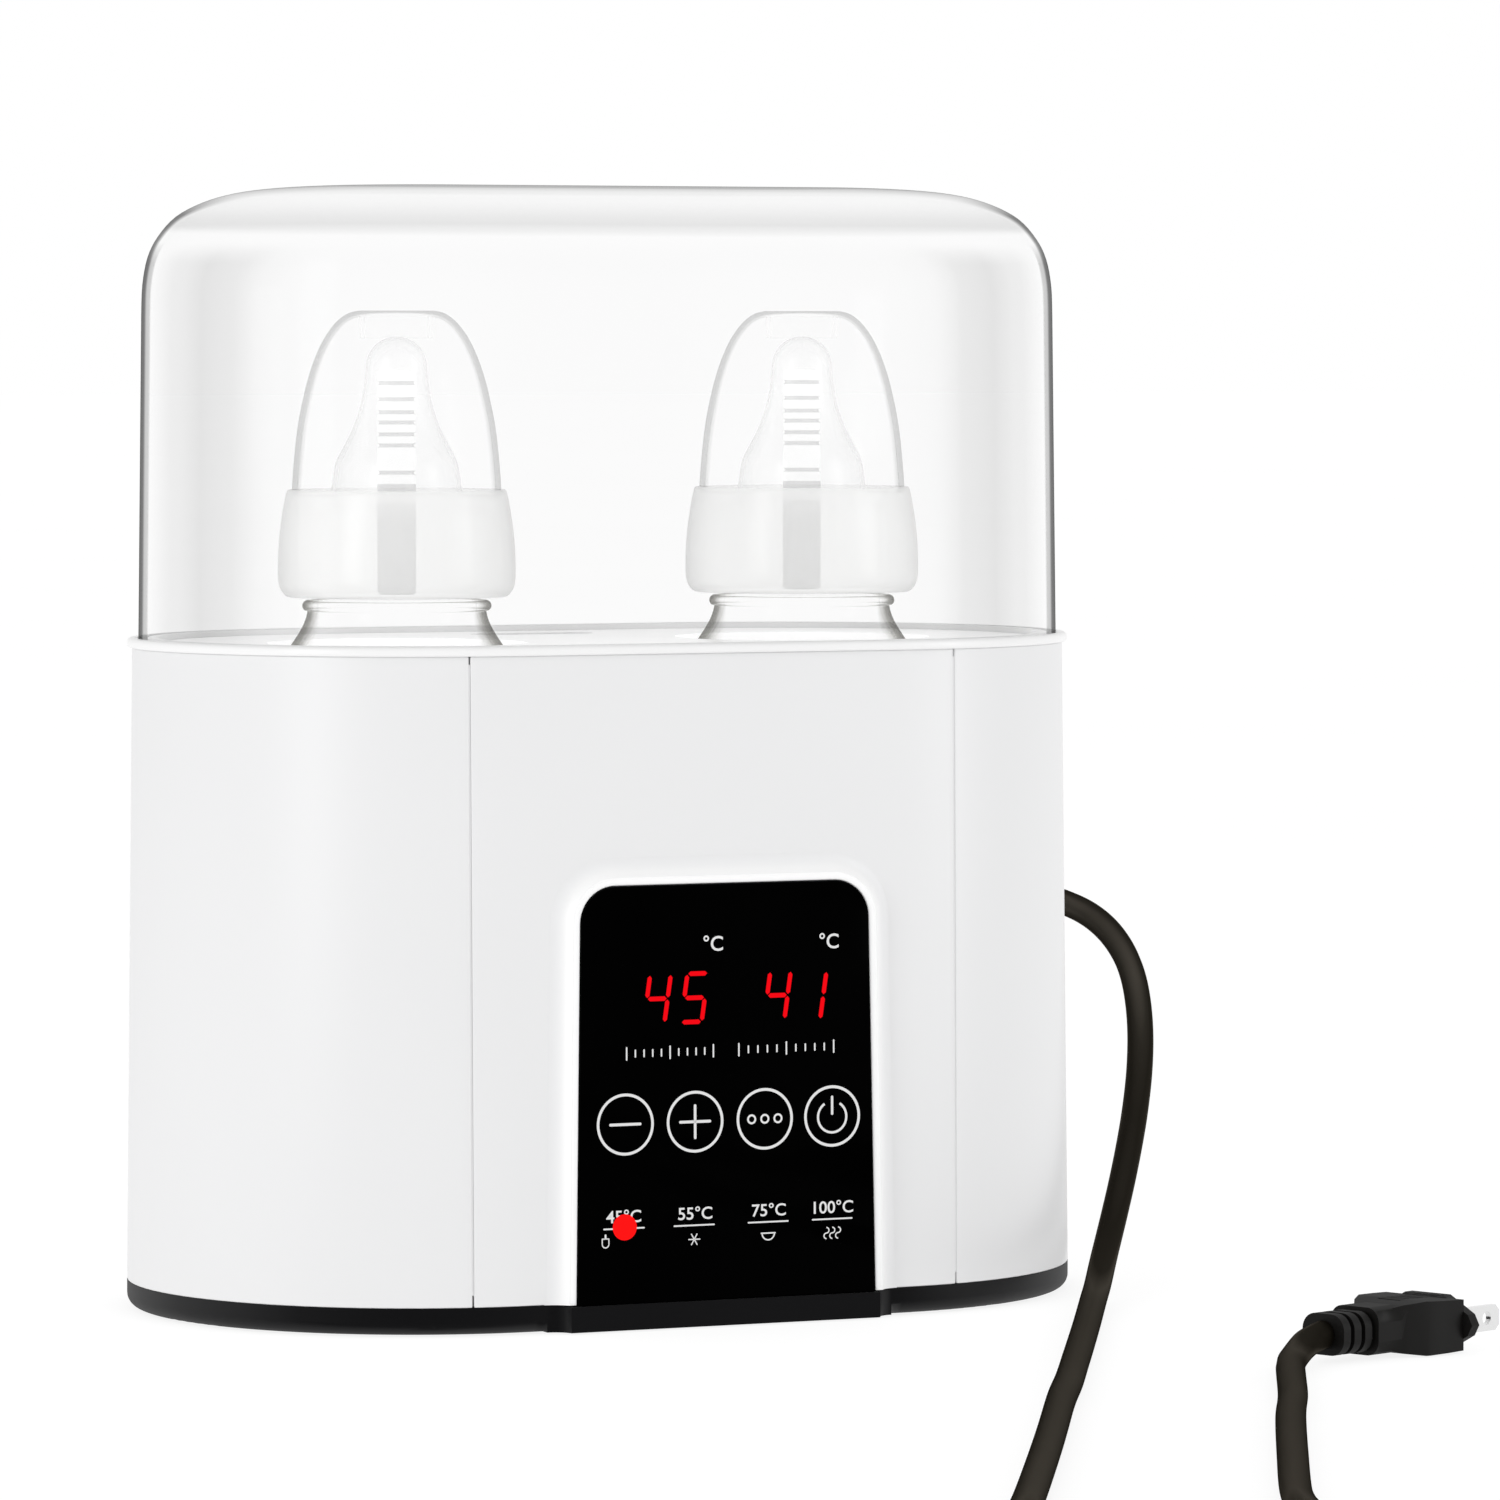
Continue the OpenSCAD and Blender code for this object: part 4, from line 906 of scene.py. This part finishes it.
def add_marks():
    """Four keys, two scales, and an underline and a sign for each mode."""
    white = Print("panel_marks", 0.03)
    minus, plus, choice, power = KEYS
    for x in KEYS:
        white.ring(x, KEY_Z, KEY_R, KEY_LINE, steps=64)
    for x in (minus, plus):
        white.stroke(x - KEY_ARM, KEY_Z, x + KEY_ARM, KEY_Z, KEY_LINE)
    white.stroke(plus, KEY_Z - KEY_ARM, plus, KEY_Z + KEY_ARM, KEY_LINE)
    for k in (-1, 0, 1):
        white.ring(choice + k * 3.6, KEY_Z, 1.0, 0.5, steps=20)
    white.ring(power, KEY_Z - 0.2, 3.9, 0.6, 122, 296, 40)
    white.stroke(power, KEY_Z + 0.6, power, KEY_Z + 4.8, 0.65)
    for x, step in SCALES:
        for k in range(-5, 6):
            tall = 1.5 if k % 5 == 0 else 0.8
            white.stroke(x + k * step, SCALE_Z - tall, x + k * step, SCALE_Z + tall, 0.4)
    for x in MODES:
        white.stroke(x - MODE_HALF, MODE_Z, x + MODE_HALF, MODE_Z, 0.4)
    bottle, flake, bowl, steam = MODES
    bottle -= 5
    white.ring(bottle, 22.0, 0.9, SIGN_LINE, 180, 180, 10)
    for side in (-0.9, 0.9):
        white.stroke(bottle + side, 22.0, bottle + side, 23.2, SIGN_LINE)
    white.stroke(bottle - 0.9, 23.3, bottle + 0.9, 23.3, SIGN_LINE)
    white.stroke(bottle, 23.4, bottle, 24.2, 0.5)
    for a in (0, 60, 120):
        c, s = 1.5 * math.cos(math.radians(a)), 1.5 * math.sin(math.radians(a))
        white.stroke(flake - c, 22.2 - s, flake + c, 22.2 + s, SIGN_LINE)
    white.ring(bowl, 22.9, 1.7, 0.35, 180, 180, 14)
    white.stroke(bowl - 1.9, 22.9, bowl + 1.9, 22.9, 0.35)
    for k in (-1, 0, 1):
        x = steam + k * 1.6
        white.ring(x, 21.5, 0.7, 0.32, 90, 180, 8)
        white.ring(x, 22.9, 0.7, 0.32, -90, 180, 8)
    white.finish("mark", "panel_black")


def add_number(name, text, x, z, size, wide):
    """Plain numbers and degree signs on the panel."""
    bpy.ops.object.select_all(action="DESELECT")
    bpy.ops.object.text_add()
    obj = bpy.context.object
    obj.name = obj.data.name = name
    obj.data.body = text
    obj.data.size = size * MM
    obj.data.align_x = "CENTER"
    obj.data.offset = 0.012 * size * MM
    obj.data.resolution_u = 4
    bpy.ops.object.convert(target="MESH")
    obj = bpy.context.object
    bpy.ops.object.mode_set(mode="EDIT")
    bpy.ops.mesh.select_all(action="SELECT")
    bpy.ops.transform.resize(value=(wide, 1, 1), center_override=(0, 0, 0))
    bpy.ops.transform.rotate(value=-math.pi / 2, orient_axis="X", center_override=(0, 0, 0))
    bpy.ops.transform.translate(value=Vector(on_front(x, z - BASE_TOP, PROUD + 0.03)) * MM)
    lean_back()
    bpy.ops.object.mode_set(mode="OBJECT")
    obj.data.materials.clear()
    dress(obj, "mark")


add_digits()
add_marks()
for name, text, x in (("mode_45", "45°C", -28.2), ("mode_55", "55°C", -8.9),
                      ("mode_75", "75°C", 11.2), ("mode_100", "100°C", 28.6)):
    add_number(name, text, x, 27.2, 4.3, 1.06)
add_number("unit_target", "°C", -3.7, 93.9, 5.2, 1.0)
add_number("unit_current", "°C", 28.0, 93.6, 5.2, 1.0)

# ---- Cover, rack and bottles ----------------------------------------------------------------

COVER_R, COVER_WALL, SEAT, COVER_TOP = 71.6, 2.0, 168.8, 284.6


def cover_line(inset):
    """The cover's half section from its foot to its middle."""
    points = [(70.6, 251.5), (70.3, 259.3), (69.0, 266.2), (66.4, 271.5), (61.8, 276.6),
              (55, 280.2), (47, 282.5), (37, 283.8), (23, 284.5), (8, COVER_TOP), (0, COVER_TOP)]
    line = [(COVER_R, SEAT)] + smooth_line(points, 4)
    if not inset:
        return line
    moved = [(COVER_R - inset, SEAT)]
    for a, at, b in zip(line, line[1:], line[2:] + line[-1:]):
        dx, dz = b[0] - a[0], b[1] - a[1]
        length = math.hypot(dx, dz)
        moved.append((max(0, at[0] - dz / length * inset), at[1] + dx / length * inset))
    moved[-1] = (0, COVER_TOP - inset)
    return moved


def add_cover():
    """The clear cover, with its inner wall."""
    obj = begin("cover")
    round_plan(cover_line(0)[::-1] + cover_line(COVER_WALL))

    def inner(at, normal):
        core = Vector((max(-END_X, min(END_X, at.x)), 0, min(at.z, 250)))
        return normal.dot(at - core) < 0

    two_finishes(obj, "cover", "cover_inside", inner)
    dress(obj, "cover", "cover", ["clear_cover"], 40)


BOTTLE_X, DECK_Z = 56.5, 168.6
FOOT_Z, GLASS_R, GLASS_WALL, SHOULDER_Z, SHOULDER_TALL = 44.3, 31.5, 2.4, 158, 20
NECK_R, NECK_Z, MOUTH_Z, PLATE_Z = 22.6, 181, 201, 203.2
COLLAR_R, CAP_Z, CAP_TOP, CAP_WALL = 30, 206, 252.9, 1.4
CORE_CUTS = (204, 209)


def shoulder(inset, steps=16):
    """The bottle's round shoulder from its body up to its neck."""
    return [(NECK_R - inset + (GLASS_R - NECK_R) * (1 + math.cos(math.pi * i / steps)) / 2,
             SHOULDER_Z + SHOULDER_TALL * i / steps) for i in range(steps + 1)]


def add_glass(name, x, body):
    """The bottle: body, round shoulder, a ring under the collar and three threads on the neck."""
    line = [(0, FOOT_Z), (GLASS_R - 6, FOOT_Z)] + arc(GLASS_R - 6, FOOT_Z + 6, 6, -90, 0, 8)
    line += shoulder(0)[:-1] + arc(NECK_R, 178.2, 1.4, -80, 90, 8)
    for z in (185, 190, 195):
        line += arc(NECK_R - 0.2, z, 0.8, -75, 75, 5)
    line += [(NECK_R, MOUTH_Z - 0.5)] + arc(NECK_R - 0.6, MOUTH_Z - 0.6, 0.6, 0, 90, 3)
    line += [(NECK_R - GLASS_WALL, MOUTH_Z)] + shoulder(GLASS_WALL)[::-1]
    inner_r = GLASS_R - GLASS_WALL
    line += [(inner_r, FOOT_Z + 8)] + arc(inner_r - 4, FOOT_Z + 8, 4, 0, -90, 5)
    line += [(0, FOOT_Z + 4)]
    obj = begin(name + "_bottle_glass")
    turn_round(x, line, 96)
    two_finishes(obj, "glass", "glass_inside",
                 lambda at, normal: faces_in(x)(at, normal) or at.z > NECK_Z)
    dress(obj, "glass", body, [name + "_glass"], 50)


def add_collar(name, x, body):
    """The screw collar, with its rounded foot and the recess that the dust cap sits in."""
    r = COLLAR_R
    line = smooth_line([(r - 3.4, 180), (r - 1.6, 180.9), (r - 0.4, 182.6), (r + 0.1, 185),
                        (r + 0.1, 190), (r - 0.1, 194), (r - 0.5, 198), (r - 1, 201.5),
                        (r - 1.5, 204.4), (r - 2, 206.8)], 3)
    line += [(r - 2.2, 207.3), (r - 2.5, 207.6), (r - 2.9, 207.4), (r - 3, 206.9), (r - 3, CAP_Z),
             (17, CAP_Z), (17, PLATE_Z), (NECK_R + 1.9, PLATE_Z), (NECK_R + 1.9, 180.3),
             (r - 5, 180)]

    def inner(at, normal):
        hollow = at.z < PLATE_Z + 0.3 and math.hypot(at.x - x, at.y) < NECK_R + 2.2
        return faces_in(x)(at, normal) or hollow

    obj = begin(name + "_screw_collar")
    turn_round(x, line + line[:1], 96)
    two_finishes(obj, "collar", "collar_inside", inner)
    dress(obj, "collar", body, [name + "_collar"], 40)


def add_nipple(name, x, body):
    """The silicone nipple: a flange under the collar, a bell and a blunt teat in one thin wall."""
    outer = smooth_line([(16.6, 207), (16.2, 210), (15.4, 214.5), (13.4, 218.5), (11.6, 222),
                         (10.2, 225.5), (9, 229.5), (8.2, 234), (7.7, 239.5)], 4)
    inner = [(r - 1.8, z - 0.4) for r, z in outer]
    line = [(21.8, MOUTH_Z), (21.8, PLATE_Z - 0.1), (16.6, PLATE_Z - 0.1)] + outer
    line += arc(0, 238.6, 7.75, 12, 88, 10) + [(0.25, 243.4), (1.2, 243.4), (4, 241.6)]
    line += inner[::-1] + [(14.8, MOUTH_Z)]
    obj = begin(name + "_teat")
    turn_round(x, line + line[:1], 144)
    two_finishes(obj, "nipple", "nipple_inside", faces_in(x))
    dress(obj, "nipple", body, [name + "_nipple"], 50)


def add_core(name, x, body):
    """The ribbed core that shows through the nipple and the collar."""
    low, high = CORE_CUTS
    line = [(0, 181), (4.3, 181), (4.9, 181.6)]
    for z in (211.9, 218.8, 221.6, 224.6, 227.2, 230.5, 234.6):
        line += [(4.9, z - 0.5), (4.4, z - 0.25), (4.4, z + 0.25), (4.9, z + 0.5)]
    line += [(4.9, 236.5), (4.5, 237.4), (3.4, 238), (0, 238)]

    # The grooves and the band between the cuts get a finish of their own that draws them as lines:
    # painted shade
    def groove(at, normal):
        return low < at.z < high or high < at.z < 236 and math.hypot(at.x - x, at.y) < 4.75

    obj = begin(name + "_teat_core")
    turn_round(x, line, 48)
    for z in CORE_CUTS:
        cut((0, 0, z), (0, 0, 1))
    # The core's lower part glows of itself: painted light
    two_finishes(obj, "core_bright", "core", lambda at, normal: at.z < low)
    next_finish(obj, "core_painted_groove_shade", groove)
    dress(obj, "core", body, angle=50)


def add_cap(name, x, body):
    """The clear dust cap, with the short ring under its top."""
    outer = smooth_line([(26.6, CAP_Z), (26.4, 210), (26, 215), (25.5, 220), (24.8, 225),
                         (23.8, 230), (22.6, 235), (21, 240), (19.2, 244.2), (17.6, 247),
                         (15.8, 249.4), (13.9, 251.2), (11.8, 252.4), (9.5, CAP_TOP)], 3)
    inner = smooth_line([(25.3, CAP_Z), (25.1, 210), (24.7, 215), (24.2, 219.9), (23.5, 224.8),
                         (22.5, 229.6), (21.4, 234.4), (19.9, 239.2), (18.1, 243.3),
                         (16.6, 245.9), (14.9, 248.2), (13.2, 249.9), (11.3, 251),
                         (9.4, CAP_TOP - CAP_WALL)], 3)
    ring = [(9.2, CAP_TOP - 7), (8.2, CAP_TOP - 7), (8.2, CAP_TOP - CAP_WALL),
            (0, CAP_TOP - CAP_WALL)]

    def on_ring(at, normal):
        return math.hypot(at.x - x, at.y) < 9.3 and CAP_TOP - 8 < at.z < CAP_TOP - 2

    obj = begin(name + "_dust_cap")
    turn_round(x, [(0, CAP_TOP)] + outer[::-1] + inner + ring, 96)
    two_finishes(obj, "cap", "cap_inside", faces_in(x))
    next_finish(obj, "cap_ring", on_ring)
    dress(obj, "cap", body, [name + "_cap"], 50)


def add_rack():
    """The rack, whose walls in the two wells that the bottles stand in glow more of themselves:
    painted light where the wells lie in shade.
    """
    rack = from_node("bottle_rack", "rack", "rack")
    only(rack)
    bpy.ops.object.mode_set(mode="EDIT")

    def painted_light_faces(at, normal):
        inwards = (at.x - math.copysign(BOTTLE_X, at.x)) * normal.x + at.y * normal.y < 0
        return inwards and at.z < DECK_Z - 0.3 and abs(at.y) < 34 and 20 < abs(at.x) < 92

    next_finish(rack, "well", painted_light_faces)
    bpy.ops.object.mode_set(mode="OBJECT")


def add_bottle(side):
    name = "left" if side < 0 else "right"
    x = side * BOTTLE_X
    for add_part in (add_glass, add_collar, add_nipple, add_core):
        add_part(name, x, name + "_bottle")
    add_cap(name, x, name + "_bottle_cap")


add_cover()
add_rack()
for side in (-1, 1):
    add_bottle(side)

# ---- Floor and light ------------------------------------------------------------------------

# How bright the floor is of itself where it is seen and as a light, and the room as a light
SEEN_FLOOR, FLOOR_LIGHT, ROOM_LIGHT = 0.85, 0.83, 0.715


def add_floor():
    """A pale floor that keeps the object's shadow and shows white round it."""
    bpy.ops.object.select_all(action="DESELECT")
    bpy.ops.mesh.primitive_plane_add(size=60)
    floor = bpy.context.object
    floor.name = "floor"
    f = Finish("floor_white")
    shaded = f.shader("ShaderNodeBsdfDiffuse")
    f.join(f.ramp(f.noise(2, 2), [(0.3, 0.21), (0.7, 0.22)]), shaded.inputs["Color"])
    seen = f.both(shaded, f.shader("ShaderNodeEmission", WHITE, Strength=SEEN_FLOOR))
    matt = f.shader("ShaderNodeBsdfDiffuse", (0.25, 0.25, 0.25))
    mirrored = f.both(matt, f.shader("ShaderNodeEmission", WHITE, Strength=FLOOR_LIGHT))
    camera = f.add("ShaderNodeLightPath").outputs["Is Camera Ray"]
    floor.data.materials.append(f.done(f.mix(camera, mirrored.outputs[0], seen.outputs[0])))


def add_lamp(where, aim, size, power):
    """A soft upright lamp that looks at its aim."""
    turn = (Vector(aim) - Vector(where)).to_track_quat("-Z", "Y").to_euler()
    bpy.ops.object.light_add(type="AREA", location=where, rotation=turn)
    lamp = bpy.context.object.data
    lamp.shape = "RECTANGLE"
    lamp.size, lamp.size_y = size
    lamp.energy = power


def add_world():
    """A plain room: white where it is seen or mirrored, and a little softer as a light."""
    world = bpy.data.worlds.new("studio")
    scene.world = world
    world.use_nodes = True
    tree = world.node_tree
    tree.nodes.clear()
    out = tree.nodes.new("ShaderNodeOutputWorld")
    white = tree.nodes.new("ShaderNodeBackground")
    room = tree.nodes.new("ShaderNodeBackground")
    mix = tree.nodes.new("ShaderNodeMixShader")
    path = tree.nodes.new("ShaderNodeLightPath")
    for background, strength in ((white, 1.0), (room, ROOM_LIGHT)):
        background.inputs["Color"].default_value = (1, 1, 1, 1)
        background.inputs["Strength"].default_value = strength
    shown = path.outputs["Is Camera Ray"]
    for ray in ("Is Glossy Ray", "Is Transmission Ray"):
        either = tree.nodes.new("ShaderNodeMath")
        either.operation = "MAXIMUM"
        tree.links.new(shown, either.inputs[0])
        tree.links.new(path.outputs[ray], either.inputs[1])
        shown = either.outputs[0]
    tree.links.new(shown, mix.inputs["Fac"])
    tree.links.new(room.outputs[0], mix.inputs[1])
    tree.links.new(white.outputs[0], mix.inputs[2])
    tree.links.new(mix.outputs[0], out.inputs["Surface"])


add_floor()
add_world()
add_lamp((-1.36, -0.63, 0.4), (-0.05, 0, 0.1), (0.4, 1.2), 6.6)
add_lamp((1.1, -1.02, 0.4), (0.05, 0, 0.1), (0.45, 1.2), 5.2)
scene.cycles.transparent_max_bounces = 32
scene.view_settings.view_transform = "Standard"
